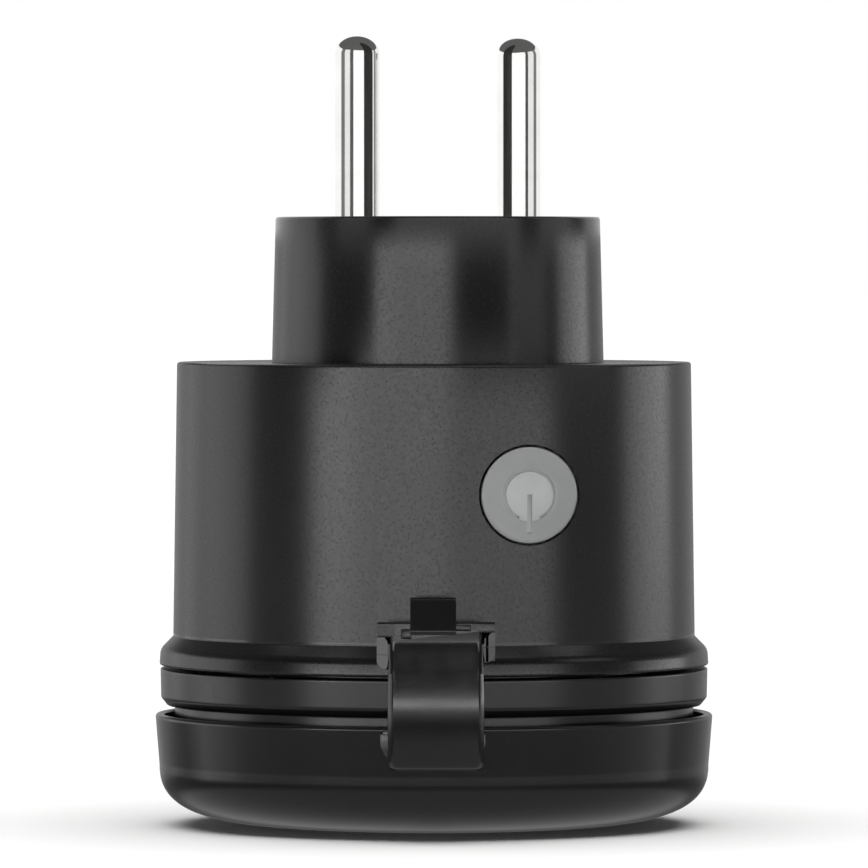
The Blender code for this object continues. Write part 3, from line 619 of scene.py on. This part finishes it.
def make_lid_seal(material):
    low, high = SEAL_LOW.z, SEAL_HIGH.z
    corners = [(LID_LEDGE_RADIUS, low, 0.15), (SEAL_HIGH.x, low, 0.15), (SEAL_HIGH.x, high, 0.3)]
    corners += [(27.6, high, 0.12), (27.3, high - 0.45, 0.12), (26.9, high, 0.12)]
    corners.append((LID_LEDGE_RADIUS, high, 0.3))
    seal = lathe("lid_gasket", rounded(corners, closed=True), closed=True)
    dress(seal, material, "lid", "seal_rubber", "lid_seal")


def make_collar(plastic):
    low, high = COLLAR_FACE_Z, COLLAR_TOP_Z
    corners = [
        (0, COLLAR_HIGH.z, 0),
        (CUP_RADIUS, COLLAR_HIGH.z, 0.5),
        (CUP_RADIUS, high + 0.2, 0.2),
        (SPIGOT_RADIUS, high + 0.2, 0.1),
        (SPIGOT_RADIUS, SEAL_SEAT[1], 0.1),
        (SEAL_SEAT[0], SEAL_SEAT[1], 0.1),
        (SEAL_SEAT[0], high, 0.1),
        (COLLAR_RADIUS, high, 0.16),
        (COLLAR_RADIUS - 0.06, low + 0.85, 0.5),
        (LIP_RADIUS[1], low + 0.05, 0.1),
        (LIP_NECK_RADIUS, low + 0.05, 0.1),
        (LIP_NECK_RADIUS, COLLAR_LOW.z, 0.15),
        (LIP_RADIUS[0], COLLAR_LOW.z, 0.15),
        (LIP_RADIUS[0], low, 0.3),
        (RECESS_RADIUS, low, 0.7),
        (RECESS_RADIUS, RECESS_FLOOR_Z, 0.6),
        (0, RECESS_FLOOR_Z, 0),
    ]
    collar = lathe("socket_collar", rounded(corners))
    through = (RECESS_FLOOR_Z - 1, COLLAR_HIGH.z + 1)
    tools = [cylinder("hole", CONTACT_HOLE_RADIUS, *through, place, steps=48) for place in CONTACTS]
    tools.append(cylinder("earth", PIN_RADIUS + 0.2, *through, EARTH_PIN, steps=48))
    for place in SCREWS.values():
        tools.append(cylinder("pocket", 1.95, low - 1, low + 1.7, place, steps=48))
        tools.append(cylinder("clearance", 1.2, low, high + 1.5, place, steps=32))
    cut(collar, *tools)
    dress(collar, plastic, "housing", "housing_black", "front_collar")


def make_housing(plastic, edge):
    corners = [
        (0, BODY_TOP_Z, 0),
        (BODY_TOP_RADIUS, BODY_TOP_Z, 0.3),
        (BODY_FOOT_RADIUS, BEAD_TOP_Z + FOOT_LINE[1], 0),
        (BODY_FOOT_RADIUS, BEAD_TOP_Z + FOOT_LINE[0], 0),
        (BODY_FOOT_RADIUS, BEAD_TOP_Z, 0.08),
        (BEAD_RADIUS - 0.1, BEAD_TOP_Z - 1.38, 1.35),
        (BEAD_RADIUS, HOUSING_FOOT_Z, 0.22),
        (0, HOUSING_FOOT_Z, 0),
    ]
    body = lathe("body_housing", rounded(corners, steps=8))
    boss = [(0, BOSS_TOP_Z, 0), (BOSS_TOP_RADIUS, BOSS_TOP_Z, 0.3), (BOSS_FOOT_RADIUS, BODY_TOP_Z, 0)]
    boss += [(BOSS_FOOT_RADIUS, BODY_TOP_Z - 1, 0), (0, BODY_TOP_Z - 1, 0)]
    add(body, lathe("boss", rounded(boss), at=(BOSS_X, 0)), *bracket_forms(), *hinge_ears())
    inner = BODY_TOP_Z - WALL
    hollow = [(0, inner, 0), (BODY_CAVITY_RADIUS, inner, 0.6), (BODY_CAVITY_RADIUS, HOUSING_FOOT_Z - 1, 0)]
    hollow.append((0, HOUSING_FOOT_Z - 1, 0))
    boss_hollow = [(0, BOSS_TOP_Z + 1, 0), (BOSS_CAVITY_RADIUS, BOSS_TOP_Z + 1, 0)]
    boss_hollow += [(BOSS_CAVITY_RADIUS + 0.2, inner - 1, 0), (0, inner - 1, 0)]
    tools = [lathe("hollow", rounded(hollow)), lathe("boss_hollow", rounded(boss_hollow), at=(BOSS_X, 0))]
    well = BUTTON_RADIUS + BUTTON_GAP
    tools.append(cylinder("button_well", well, -30, -17, (BUTTON.x, BUTTON.z), "Y", steps=160))
    reach = HINGE_EAR_X[1] + 1
    hinge_bore = HINGE_PIN_RADIUS + BORE_CLEARANCE
    tools.append(cylinder("hinge_bore", hinge_bore, -reach, reach, (HINGE.y, HINGE.z), "X", steps=48))
    latch_bore = LATCH_PIN_RADIUS + BORE_CLEARANCE
    ends = (LATCH.x - 5.25, LATCH.x + 5.25)
    tools.append(cylinder("latch_bore", latch_bore, *ends, (LATCH.y, LATCH.z), "X", steps=32))
    cut(body, *tools)
    paint(body, (plastic, edge), lambda face: on_foot_line(face) or on_ear_front(face))
    dress(body, plastic, "housing", "housing_black", "main_housing")


def paint(obj, materials, second):
    """The second material on the faces that a rule picks, and the first on the rest."""
    obj.data.materials.clear()
    for material in materials:
        obj.data.materials.append(material)
    for face in obj.data.polygons:
        face.material_index = int(second(face))


def on_foot_line(face):
    low, high = (BEAD_TOP_Z + offset for offset in FOOT_LINE)
    radius = face.center.xy.length / MM
    return low < face.center.z / MM < high and abs(radius - BODY_FOOT_RADIUS) < 0.1


def on_ear_front(face):
    x, y, z = face.center / MM
    low, high = BRACKET_Z
    on_bracket = y < -29.8 and low < z < high and abs(x - LATCH.x) < BRACKET_HALVES[1] + 0.1
    return face.normal.y < -0.5 and on_bracket


def make_carrier(plastic):
    """The disc that closes the boss and carries the pins, with the earth entry through it."""
    low = box_mm("pin_carrier")[0].z
    corners = [(0, BOSS_TOP_Z, 0), (CARRIER_RADIUS, BOSS_TOP_Z, 0.35)]
    corners += [(CARRIER_RADIUS, low, 0.2), (0, low, 0)]
    disc = lathe("plug_face_disc", rounded(corners), at=(BOSS_X, 0))
    tools = [
        cylinder("pin_hole", PIN_RADIUS + 0.2, low - 1, BOSS_TOP_Z + 1, place, steps=64)
        for place in PIN_PLACES.values()
    ]
    entry = [(0, BOSS_TOP_Z + 1, 0), (EARTH_ENTRY_RADIUS + 1.5, BOSS_TOP_Z + 1, 0)]
    entry += [(EARTH_ENTRY_RADIUS, BOSS_TOP_Z - 0.5, 0.3), (EARTH_ENTRY_RADIUS, 61.8, 0), (4.3, 61.8, 0)]
    entry += [(4.3, low - 1, 0), (0, low - 1, 0)]
    tools.append(lathe("entry", rounded(entry), EARTH_ENTRY, ROUND_STEPS))
    cut(disc, *tools)
    dress(disc, plastic, "housing", "housing_black", "pin_carrier")


def plan_prism(name, outline, low, high):
    """An (x, y) outline given a height."""
    form = bmesh.new()
    rings = [[form.verts.new(Vector((x, y, z)) * MM) for x, y in outline] for z in (low, high)]
    form.faces.new(rings[0])
    form.faces.new(list(reversed(rings[1])))
    for i in range(len(outline)):
        j = (i + 1) % len(outline)
        form.faces.new((rings[0][j], rings[0][i], rings[1][i], rings[1][j]))
    return finish_form(name, form)


def bracket_forms():
    """The latch bracket: two ears whose fronts slant back to the outside, and the plate between them."""
    low, high = BRACKET_Z
    inner, outer = BRACKET_HALVES
    forms = []
    for sign in (-1, 1):
        foot = low + (0.7 if sign > 0 else 0.0)
        corners = [(-ROOT_Y, foot, 0), (EAR_NOSE_Y, foot, 0.6), (EAR_NOSE_Y, high - 0.9, 0.5)]
        corners += [(-31.8, high, 0.5), (-ROOT_Y, high, 0)]
        ends = sorted(LATCH.x + sign * half for half in (inner, outer))
        form = prism("latch_ear", rounded(corners, closed=True), *ends, bevel=0.3)
        plan = [(LATCH.x + sign * x, y) for x, y in (*EAR_SLANT, (7.5, -34.0))]
        tools = [plan_prism("slant", plan, low - 1, high + 1), foot_cutter(sign, foot)]
        line_z = 19.95 if sign > 0 else 19.2
        tools.append(ear_slot(sign, (inner - 0.2, outer + 0.2), (line_z - 0.05, line_z + 0.05), 0.14))
        if sign > 0:
            tools.append(ear_slot(sign, (4.95, 5.36), (low - 1, high - 0.1), 0.3))
        forms.append(cut(form, *tools))
    reach = BRACKET_HALVES[0] + 0.3
    forms.append(block("back_plate", (LATCH.x - reach, -28.9, low), (LATCH.x + reach, -ROOT_Y, high), 0.25))
    return forms


def ear_front(half):
    """How far forward the slanted ear reaches at a half width."""
    (in_x, in_y), (out_x, out_y) = EAR_SLANT
    return max(in_y + (out_y - in_y) * (half - in_x) / (out_x - in_x), EAR_NOSE_Y)


def ear_slot(sign, halves, span_z, depth):
    """A cutter that sinks into an ear's slanted front."""
    inner, outer = halves
    plan = [(half, ear_front(half) + depth) for half in halves] + [(outer, -34.0), (inner, -34.0)]
    return plan_prism("ear_slot", [(LATCH.x + sign * x, y) for x, y in plan], *span_z)


def foot_cutter(sign, low):
    """Rounds an ear's lower outer corner, seen from the front."""
    outer, radius = BRACKET_HALVES[1] + 0.01, 0.95
    curve = arc((outer - radius, low + radius), (radius, radius), -90, 0, 10)
    outline = [(LATCH.x + sign * p.x, p.y) for p in curve]
    outline += [(LATCH.x + sign * (outer + 0.5), low + radius), (LATCH.x + sign * (outer + 0.5), low - 0.5)]
    outline.append((LATCH.x + sign * (outer - radius), low - 0.5))
    return prism("foot_cutter", outline, -34.5, -29.2, "XZ")


def hinge_ears():
    outline = rounded([(29.3, HINGE.z - 1.8, 0), (ROOT_Y, HINGE.z - 1.8, 0), (ROOT_Y, HINGE.z + 3.2, 0)])
    outline += reversed(arc((HINGE.y, HINGE.z), (2.2, 2.2), -125, 80, 32))
    forms = []
    for sign in (-1, 1):
        ends = sorted(sign * x for x in HINGE_EAR_X)
        forms.append(prism("hinge_ear", outline, *ends, bevel=0.3))
    return forms


def flap_back(z):
    """The flap's inner face: thick below the ears, a thin skin in front of them."""
    for (low, first), (high, last) in zip(FLAP_BACK, FLAP_BACK[1:]):
        if z <= high:
            return first + (last - first) * max(z - low, 0) / (high - low)
    return LATCH_SKIN_BACK_Y


def latch_skin():
    """The flap: its front bends gently, and slanted rims lead to its sides."""
    form = bmesh.new()
    loops = []
    for z, front, half in LATCH_ROWS:
        back = flap_back(z)
        across, depth = LATCH_RIM
        depth = min(depth, (back - front) * 0.85)
        shoulder = half - across
        rim = [(half, front + depth), (half - 0.04, front + depth * 0.86)]
        rim.append((shoulder + 0.04, front + depth * 0.1))
        right = [(half, back)] + rim + [(shoulder - 0.06, front + 0.004), (shoulder - 0.3, front)]
        outline = right + [(-x, y) for x, y in reversed(right)]
        loops.append([form.verts.new(Vector((LATCH.x + x, y, z)) * MM) for x, y in outline])
    for first, second in zip(loops, loops[1:]):
        for i in range(len(first)):
            j = (i + 1) % len(first)
            form.faces.new((first[i], first[j], second[j], second[i]))
    form.faces.new(loops[0])
    form.faces.new(list(reversed(loops[-1])))
    return finish_form("latch_flap", form)


def on_tab(face):
    low, high = LATCH_TAB_X
    return low - 0.05 < face.center.x / MM < high + 0.05


def make_latch(gloss, plastic, metal):
    """The flap with its hook, the flat plate over the ears, and the finger tab above."""
    pivot = (LATCH.y, LATCH.z)
    barrel = arc(pivot, (LATCH_BARREL_RADIUS, LATCH_BARREL_RADIUS), -90, 80, 24)
    front, top = LATCH.y - 2.05, LATCH.z + 2.5
    neck = [Vector(p) for p in ((LATCH.y, top), (front + 0.15, top), (front, top - 0.15), (front, 20.6))]
    neck += [Vector(p) for p in ((-33.24, 20.2), (-33.3, 18.8), (-33.4, 17.2))]
    neck += [Vector(p) for p in ((-33.3, 16.4), (-32.2, 16.4), (-31.9, 17.6))]
    hook = [(-32.4, 7.36, 0.1), (-31.0, 7.36, 0.15), (-30.85, 7.6, 0.1), (-30.85, 7.9, 0.1)]
    hook += [(-31.5, 8.3, 0.3), (-32.4, 8.6, 0)]
    tip = LEVER_HIGH.z
    tab = [(-31.0, 22.0, 0), (-30.9, tip - 0.6, 0.6), (-32.0, tip, 0.8), (-33.1, tip - 0.1, 0.35)]
    tab += [(-33.72, 22.4, 3.0), (LEVER_LOW.y + 0.07, 21.65, 0.4), (-33.8, 21.3, 0.1)]
    tab += [(-33.5, 21.25, 0.1), (-33.3, 21.9, 0.3), (-32.7, 22.3, 0.3), (-32.2, 22.0, 0)]
    forms = [prism("neck", neck + barrel, LATCH.x - LATCH_NECK_HALF, LATCH.x + LATCH_NECK_HALF)]
    forms.append(prism("hook", rounded(hook, closed=True), LATCH.x - 4.1, LATCH.x + 4.1, bevel=0.1))
    for sign in (-1, 1):
        ends = sorted(LATCH.x + sign * half for half in (4.2, BRACKET_HALVES[1] - 0.05))
        low = LATCH.z + (1.5 if sign > 0 else 1.0)
        cover = [(front, low, 0.1), (front, top, 0.15), (LATCH.y, top, 0), (LATCH.y, top - 0.45, 0)]
        cover += [(front + 0.6, top - 0.45, 0.3), (front + 0.6, low, 0.1)]
        forms.append(prism("ear_cover", rounded(cover, closed=True), *ends, bevel=0.06))
    lever = add(latch_skin(), *forms)
    slots = [block("slot", (x0, -34.5, z0), (x1, -31.9, z1), 0.08) for x0, x1, z0, z1 in LATCH_SLOTS]
    cut(lever, *slots)
    add(lever, prism("tab", rounded(tab, closed=True), *LATCH_TAB_X, bevel=0.22, segments=1))
    bore = LATCH_PIN_RADIUS + BORE_CLEARANCE
    cut(lever, cylinder("bore", bore, -6, 6.4, pivot, "X", steps=32))
    paint(lever, (gloss, plastic), lambda face: face.center.z / MM > 20.4 and not on_tab(face))
    dress(lever, gloss, "latch", "latch_gloss", "latch_lever")
    low, high = box_mm("latch_pin")
    pin = cylinder("latch_axle", LATCH_PIN_RADIUS, low.x, high.x, pivot, "X", steps=48, bevel=0.15)
    dress(pin, metal, "housing", "nickel_plate", "latch_pin")


def wall_radius(z):
    """The drafted wall's radius at a height."""
    share = (z - BEAD_TOP_Z) / (BODY_TOP_Z - BEAD_TOP_Z)
    return BODY_FOOT_RADIUS + (BODY_TOP_RADIUS - BODY_FOOT_RADIUS) * share


def make_button(cap, ring):
    """Its face follows the wall's curve, with a raised disc, a ring groove and a bar for the power symbol.
    Outside the groove the face takes a darker copy of the cap material as painted shade.
    """
    turns = 240
    inner, outer = SYMBOL_RADII
    rings = [(0.0, 0.13), (0.8, 0.125), (1.5, 0.11), (2.0, 0.09), (inner - 0.12, 0.06), (inner, 0.02)]
    rings += [(inner + 0.04, -SYMBOL_DEPTH), (outer - 0.04, -SYMBOL_DEPTH)]
    rings += [(outer, -0.03), (outer + 0.15, 0.0)]
    rings += [(3.1, -0.02), (3.6, -0.05), (4.1, -0.04), (4.45, 0.0)]
    edge = 0.3
    for a in (0, 0.4, 0.8, 1.2, 1.57):
        rings.append((BUTTON_RADIUS - edge + edge * math.sin(a), edge * (math.cos(a) - 1)))
    flange, front, rear = BUTTON_FLANGE
    stem, end = BUTTON_STEM
    back = [(BUTTON_RADIUS, front), (flange, front), (flange, rear), (stem, rear), (stem, end), (0, end)]
    form = bmesh.new()
    loops = []
    for radius, offset in rings:
        loop = []
        for i in range(turns):
            angle = 2 * math.pi * (i + 0.5) / turns
            from_down = abs(math.degrees(math.atan2(math.sin(angle), -math.cos(angle))))
            height = offset
            if offset == -SYMBOL_DEPTH and from_down < SYMBOL_OPENING:
                height = 0.0
            x = BUTTON.x + radius * math.sin(angle)
            z = BUTTON.z + radius * math.cos(angle)
            reach = wall_radius(z) + BUTTON_PROUD + height
            loop.append(form.verts.new(Vector((x, -math.sqrt(reach * reach - x * x), z)) * MM))
        loops.append(loop)
    for radius, y in back:
        loop = []
        for i in range(turns):
            angle = 2 * math.pi * (i + 0.5) / turns
            x = BUTTON.x + radius * math.sin(angle)
            z = BUTTON.z + radius * math.cos(angle)
            loop.append(form.verts.new(Vector((x, y, z)) * MM))
        loops.append(loop)
    for first, second in zip(loops, loops[1:]):
        for i in range(turns):
            j = (i + 1) % turns
            form.faces.new((first[i], first[j], second[j], second[i]))
    bmesh.ops.remove_doubles(form, verts=form.verts, dist=1e-7)
    button = finish_form("button_cap", form)
    width, length = SYMBOL_BAR
    reach = wall_radius(BUTTON.z) + BUTTON_PROUD
    turn = math.asin(BUTTON.x / reach)
    low = (-width / 2, -reach + 0.02 - 0.5, BUTTON.z - length)
    high = (width / 2, -reach + SYMBOL_DEPTH, BUTTON.z + 0.1)
    cut(button, block("bar", low, high, bevel=0.12, turn=turn))
    middle = Vector((BUTTON.x, BUTTON.z))
    # Faces outside the ring groove get the darker grey copy: painted shade on the button's outer face
    paint(button, (cap, ring), lambda face: (face.center.xz / MM - middle).length > SYMBOL_RADII[1])
    dress(button, cap, "button", "button_grey", "power_button")


def make_pins(metal):
    for name, place in PIN_PLACES.items():
        low, high = box_mm(name)
        outline = [Vector((0, high.z))] + arc((0, high.z - 1.9), (PIN_RADIUS, 1.9), 84, 0, 14)
        shoulder = [(PIN_RADIUS, 55.5, 0), (3.4, 55.2, 0.1), (3.4, 53.5, 0.2), (2.0, 53.2, 0)]
        outline += rounded(shoulder + [(2.0, low.z, 0.3), (0, low.z, 0)])
        dress(lathe(f"{name}_turned", outline, place, ROUND_STEPS), metal, "housing", "nickel_plate", name)
    low, high = box_mm("socket_earth_pin")
    corners = [(0, high.z, 0), (PIN_RADIUS, high.z, 0.2), (PIN_RADIUS, 31.0, 0), (3.6, 31.0, 0.2)]
    outline = rounded(corners + [(3.6, 29.6, 0.2), (PIN_RADIUS, 29.6, 0)])
    nose = low.z + 1.9
    outline += [Vector((p.x, 2 * nose - p.y)) for p in arc((0, nose), (PIN_RADIUS, 1.9), 0, 84, 14)]
    outline.append(Vector((0, low.z)))
    earth = lathe("earth_contact_pin", outline, EARTH_PIN, ROUND_STEPS)
    dress(earth, metal, "housing", "nickel_plate", "socket_earth_pin")


def make_hinge_parts(metal, steel):
    low, high = box_mm("hinge_pin")
    place = (HINGE.y, HINGE.z)
    pin = cylinder("hinge_axle", HINGE_PIN_RADIUS, low.x, high.x, place, "X", steps=64, bevel=0.2)
    dress(pin, metal, "housing", "nickel_plate", "hinge_pin")
    turns, per_turn, radius = 4, 32, 1.7
    half = SPRING_SLOT_HALF - 0.5
    points = [(-half, HINGE.y - radius, HINGE.z - 1.9)]
    for i in range(turns * per_turn + 1):
        angle = math.pi + 2 * math.pi * i / per_turn
        x = -half + 2 * half * i / (turns * per_turn)
        points.append((x, HINGE.y + radius * math.cos(angle), HINGE.z - radius * math.sin(angle)))
    points.append((half, HINGE.y - radius, HINGE.z + 2.4))
    dress(coil("hinge_coil", points, 0.22), steel, "housing", "tin_steel", "hinge_spring")


def make_fasteners(metal, seal_material):
    low, high = box_mm("housing_seal")
    radius = (high.z - low.z) / 2
    ring = arc((high.x - radius, (low.z + high.z) / 2), (radius, radius), 0, 345, 23)
    dress(lathe("body_gasket", ring, closed=True), seal_material, "housing", "seal_rubber", "housing_seal")
    for name, place in SCREWS.items():
        low, high = box_mm(name)
        corners = [(0, high.z, 0), (0.85, high.z - 1, 0.2), (0.85, low.z + 1.25, 0), (1.6, low.z + 1.25, 0.1)]
        corners += [(1.6, low.z, 0.25), (0, low.z, 0)]
        screw = lathe(f"{name}_turned", rounded(corners), place, 64)
        slots = []
        for turn in (0, math.pi / 2):
            slot = block("slot", (-1.0, -0.22, low.z - 0.5), (1.0, 0.22, low.z + 0.55), 0.05)
            shift = Matrix.Translation((place.x * MM, place.y * MM, 0))
            slot.matrix_world = shift @ Matrix.Rotation(turn, 4, "Z")
            slots.append(slot)
        cut(screw, *slots)
        dress(screw, metal, "housing", "nickel_plate", name)


def dress_cad_nodes(materials):
    """Inner nodes keep their CAD shape, with smooth round faces and a finished material."""
    for name, material in materials.items():
        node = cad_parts[name]
        node.data.materials.clear()
        node.data.materials.append(material)
        node.data.shade_smooth()
        node.data.set_sharp_from_angle(angle=SHARP_ANGLE)


# ---------------------------------------------------------------- studio


# Studio light by direction: azimuth from and to (0 is the camera's side, + to the right), elevation from
# and to, edge softness, radiance. All angles in degrees.
SOFT_BOXES = (
    (-181, -144, -6, 14, 5, 0.36),
    (-144, -122, -5, 14, 5, 0.78),
    (-122, -90, -6, 14, 4, 1.1),
    (94, 128, -1.2, 2.6, 3, 3.5),
    (104, 181, -6, 14, 5, 0.32),
    (-55, -36, -1.5, 4.5, 5, 7.4),
    (-36, 6, -1.5, 4.5, 4, 5.4),
    (6, 54, -1.5, 4.5, 5, 3.7),
    (-115, 115, -10, -2, 2.5, 0.55),
    (-181, 181, -91, -20, 4, 0.34),
)
ROOM_RADIANCE = 0.12
# Cards round the pins: azimuth from and to, radiance
PIN_CARDS = (
    (-180, -136, 1.15),
    (-136, -79, 1.1),
    (-79, -62, 0.2),
    (-62, -39.5, 0.92),
    (-39.5, -25.5, 0.1),
    (-25.5, 2, 1.2),
    (2, 48.8, 1.2),
    (48.8, 62.8, 0.08),
    (62.8, 91, 0.92),
    (91, 107.5, 0.22),
    (107.5, 140, 1.0),
    (140, 180, 1.0),
)
PIN_CARD_RADIUS = 0.045
PIN_CARD_Z = (0.0625, 0.1)
# Cards in front of the boss, level with it
BOSS_CARDS = ((-72, -41, 0.05), (10, 48, 0.04), (52, 76, 0.8))
BOSS_CARD_RADIUS = 0.12
BOSS_CARD_Z = (0.0505, 0.095)


def glow_panel(name, corners, radiance, one_sided=False):
    """A flat panel of even brightness that only reflections see, from one side or both."""
    form = bmesh.new()
    form.faces.new([form.verts.new(Vector(corner)) for corner in corners])
    mesh = bpy.data.meshes.new(name)
    form.to_mesh(mesh)
    form.free()
    obj = new_object(name, mesh)
    material = bpy.data.materials.new(name)
    material.use_nodes = True
    nodes = material.node_tree.nodes
    nodes.clear()
    glow = nodes.new("ShaderNodeEmission")
    glow.inputs["Strength"].default_value = radiance
    out = nodes.new("ShaderNodeOutputMaterial")
    links = material.node_tree.links
    links.new(glow.outputs["Emission"], out.inputs["Surface"])
    if one_sided:
        mix = nodes.new("ShaderNodeMixShader")
        links.new(nodes.new("ShaderNodeNewGeometry").outputs["Backfacing"], mix.inputs[0])
        links.new(glow.outputs["Emission"], mix.inputs[1])
        links.new(nodes.new("ShaderNodeBsdfTransparent").outputs["BSDF"], mix.inputs[2])
        links.new(mix.outputs["Shader"], out.inputs["Surface"])
    mesh.materials.append(material)
    obj.visible_camera = False
    obj.visible_diffuse = False
    obj.visible_shadow = False


def card(name, start, end, radius, span_z, radiance):
    """An upright panel across two azimuths round the boss's axis."""
    low, high = span_z
    ends = []
    for angle in (start, end):
        turn = math.radians(angle)
        ends.append((BOSS_X * MM + radius * math.sin(turn), -radius * math.cos(turn)))
    corners = [(*ends[0], low), (*ends[1], low), (*ends[1], high), (*ends[0], high)]
    glow_panel(name, corners, radiance)


def pin_flag(name, pin, sign, reach):
    """A black flag beside a pin's inner side, seen from that pin only."""
    x = (pin.x + sign * 3.5) * MM
    near, far = (pin.y - span for span in reach)
    if sign > 0:
        near, far = far, near
    low, high = PIN_CARD_Z
    corners = [(x, near * MM, low), (x, near * MM, high), (x, far * MM, high), (x, far * MM, low)]
    glow_panel(name, corners, 0.03, one_sided=True)


class WorldLight:
    """Soft boxes in the world, each set by azimuth and elevation. The camera itself sees plain white."""

    def __init__(self, world):
        world.use_nodes = True
        self.nodes = world.node_tree.nodes
        self.links = world.node_tree.links
        self.background = self.nodes["Background"]
        split = self.nodes.new("ShaderNodeSeparateXYZ")
        self.links.new(self.nodes.new("ShaderNodeTexCoord").outputs["Generated"], split.inputs[0])
        forward = self.math("MULTIPLY", split.outputs["Y"], -1.0)
        self.azimuth = self.math("DEGREES", self.math("ARCTAN2", split.outputs["X"], forward))
        self.elevation = self.math("DEGREES", self.math("ARCSINE", split.outputs["Z"]))

    def math(self, operation, *values):
        node = self.nodes.new("ShaderNodeMath")
        node.operation = operation
        for socket, value in zip(node.inputs, values):
            if isinstance(value, (int, float)):
                socket.default_value = value
            else:
                self.links.new(value, socket)
        return node.outputs[0]

    def step(self, value, at, soft):
        """0 below an angle and 1 above it, with a soft edge."""
        node = self.nodes.new("ShaderNodeMapRange")
        node.interpolation_type = "SMOOTHSTEP"
        node.inputs["From Min"].default_value = at - soft
        node.inputs["From Max"].default_value = at + soft
        self.links.new(value, node.inputs["Value"])
        return node.outputs["Result"]

    def band(self, value, low, high, soft):
        return self.math("SUBTRACT", self.step(value, low, soft), self.step(value, high, soft))

    def fill(self, boxes, room):
        total = room
        for start, end, low, high, soft, radiance in boxes:
            across = self.band(self.azimuth, start, end, soft)
            tall = self.band(self.elevation, low, high, min(soft, 2.0) if high - low < 20 else soft)
            glow = self.math("MULTIPLY", self.math("MULTIPLY", across, tall), radiance)
            total = self.math("ADD", glow, total)
        seen = self.nodes.new("ShaderNodeLightPath").outputs["Is Camera Ray"]
        hidden = self.math("MULTIPLY", total, self.math("SUBTRACT", 1.0, seen))
        self.links.new(self.math("ADD", seen, hidden), self.background.inputs["Strength"])
        self.background.inputs["Color"].default_value = (1.0, 1.0, 1.0, 1.0)


def make_studio():
    world = bpy.data.worlds.new("studio")
    bpy.context.scene.world = world
    WorldLight(world).fill(SOFT_BOXES, ROOM_RADIANCE)
    bpy.context.scene.view_settings.view_transform = "Standard"

    form = bmesh.new()
    bmesh.ops.create_grid(form, x_segments=1, y_segments=1, size=12.0)
    floor = finish_form("floor", form)
    floor.location.z = -0.0002
    floor.visible_glossy = False
    sheet = Shader("pale_floor", (0.93, 0.93, 0.925), 0.7, Specular_IOR_Level=0.2)
    sheet.vary_colour(sheet.noise(400.0, 2.0), (0.92, 0.92, 0.915), (0.94, 0.94, 0.935))
    floor.data.materials.append(sheet.material)

    data = bpy.data.lights.new("overhead", "SUN")
    data.energy = 3.4
    data.angle = math.radians(80)
    overhead = new_object("overhead", data)
    overhead.visible_glossy = False

    for n, (start, end, radiance) in enumerate(PIN_CARDS):
        card(f"pin_card_{n}", start, end, PIN_CARD_RADIUS, PIN_CARD_Z, radiance)
    for n, (start, end, radiance) in enumerate(BOSS_CARDS):
        card(f"boss_card_{n}", start, end, BOSS_CARD_RADIUS, BOSS_CARD_Z, radiance)
    pin_flag("left_pin_flag", PIN_PLACES["plug_pin_neutral"], 1, (1.8, 6.0))
    pin_flag("right_pin_flag", PIN_PLACES["plug_pin_live"], -1, (2.1, 7.0))


def make_camera():
    """Level with the top of the body and a little above it, square on to the latch side, with a long lens."""
    data = bpy.data.cameras.new("camera")
    data.sensor_width = 36.0
    data.lens = 354.4
    data.clip_start = 0.01
    camera = new_object("camera", data)
    camera.location = (0, -0.9028, 0.05868)
    camera.rotation_euler = (math.radians(90 - 1.117), 0, 0)
    bpy.context.scene.camera = camera


def make_object():
    grained = grained_plastic()
    fine = smooth_plastic()
    gloss = gloss_plastic()
    nickel = polished_nickel()
    seal = rubber()
    brass = brushed_metal("stamped_brass", (0.62, 0.46, 0.2), (0.75, 0.58, 0.3))
    steel = brushed_metal("tinned_steel", (0.5, 0.5, 0.52), (0.66, 0.66, 0.67))
    insulator = moulded("thermoset_insulator", (0.48, 0.48, 0.45), (0.6, 0.6, 0.57))
    board = moulded("solder_mask", (0.012, 0.12, 0.05), (0.03, 0.19, 0.09), 0.25, 0.4)
    epoxy = moulded("black_epoxy", (0.014, 0.014, 0.014), (0.03, 0.03, 0.03), 0.3, 0.5)
    blue = moulded("blue_housing", (0.02, 0.09, 0.34), (0.04, 0.15, 0.48), 0.3, 0.5)
    white = moulded("white_moulding", (0.7, 0.7, 0.68), (0.84, 0.84, 0.82), 0.35, 0.5)
    make_housing(grained, edge_plastic())
    make_collar(fine)
    make_lid(lid_plastic())
    make_lid_seal(seal)
    make_latch(gloss, grained, nickel)
    # The second cap material is the same frosted grey made darker, a painted shade for the face outside the ring
    # groove
    make_button(frosted_cap("frosted_grey_cap", 0.40), frosted_cap("frosted_grey_ring_painted_shade", 0.27))
    make_pins(nickel)
    make_carrier(fine)
    make_hinge_parts(nickel, steel)
    make_fasteners(nickel, seal)
    dress_cad_nodes(
        {
            "latch_spring": steel,
            "earth_receptacle": brass,
            "earth_strap": brass,
            "contact_housing": insulator,
            "socket_contact_live": brass,
            "socket_contact_neutral": brass,
            "live_busbar": brass,
            "neutral_busbar": brass,
            "shutter": insulator,
            "shutter_pivot": brass,
            "shutter_spring": steel,
            "power_board": board,
            "control_board": board,
            "relay": blue,
            "transformer": epoxy,
            "capacitor": epoxy,
            "varistor": blue,
            "fuse": white,
            "wifi_module": steel,
            "tact_switch": epoxy,
            "switch_plunger": white,
            "status_led": white,
        }
    )


make_camera()
make_object()
make_studio()
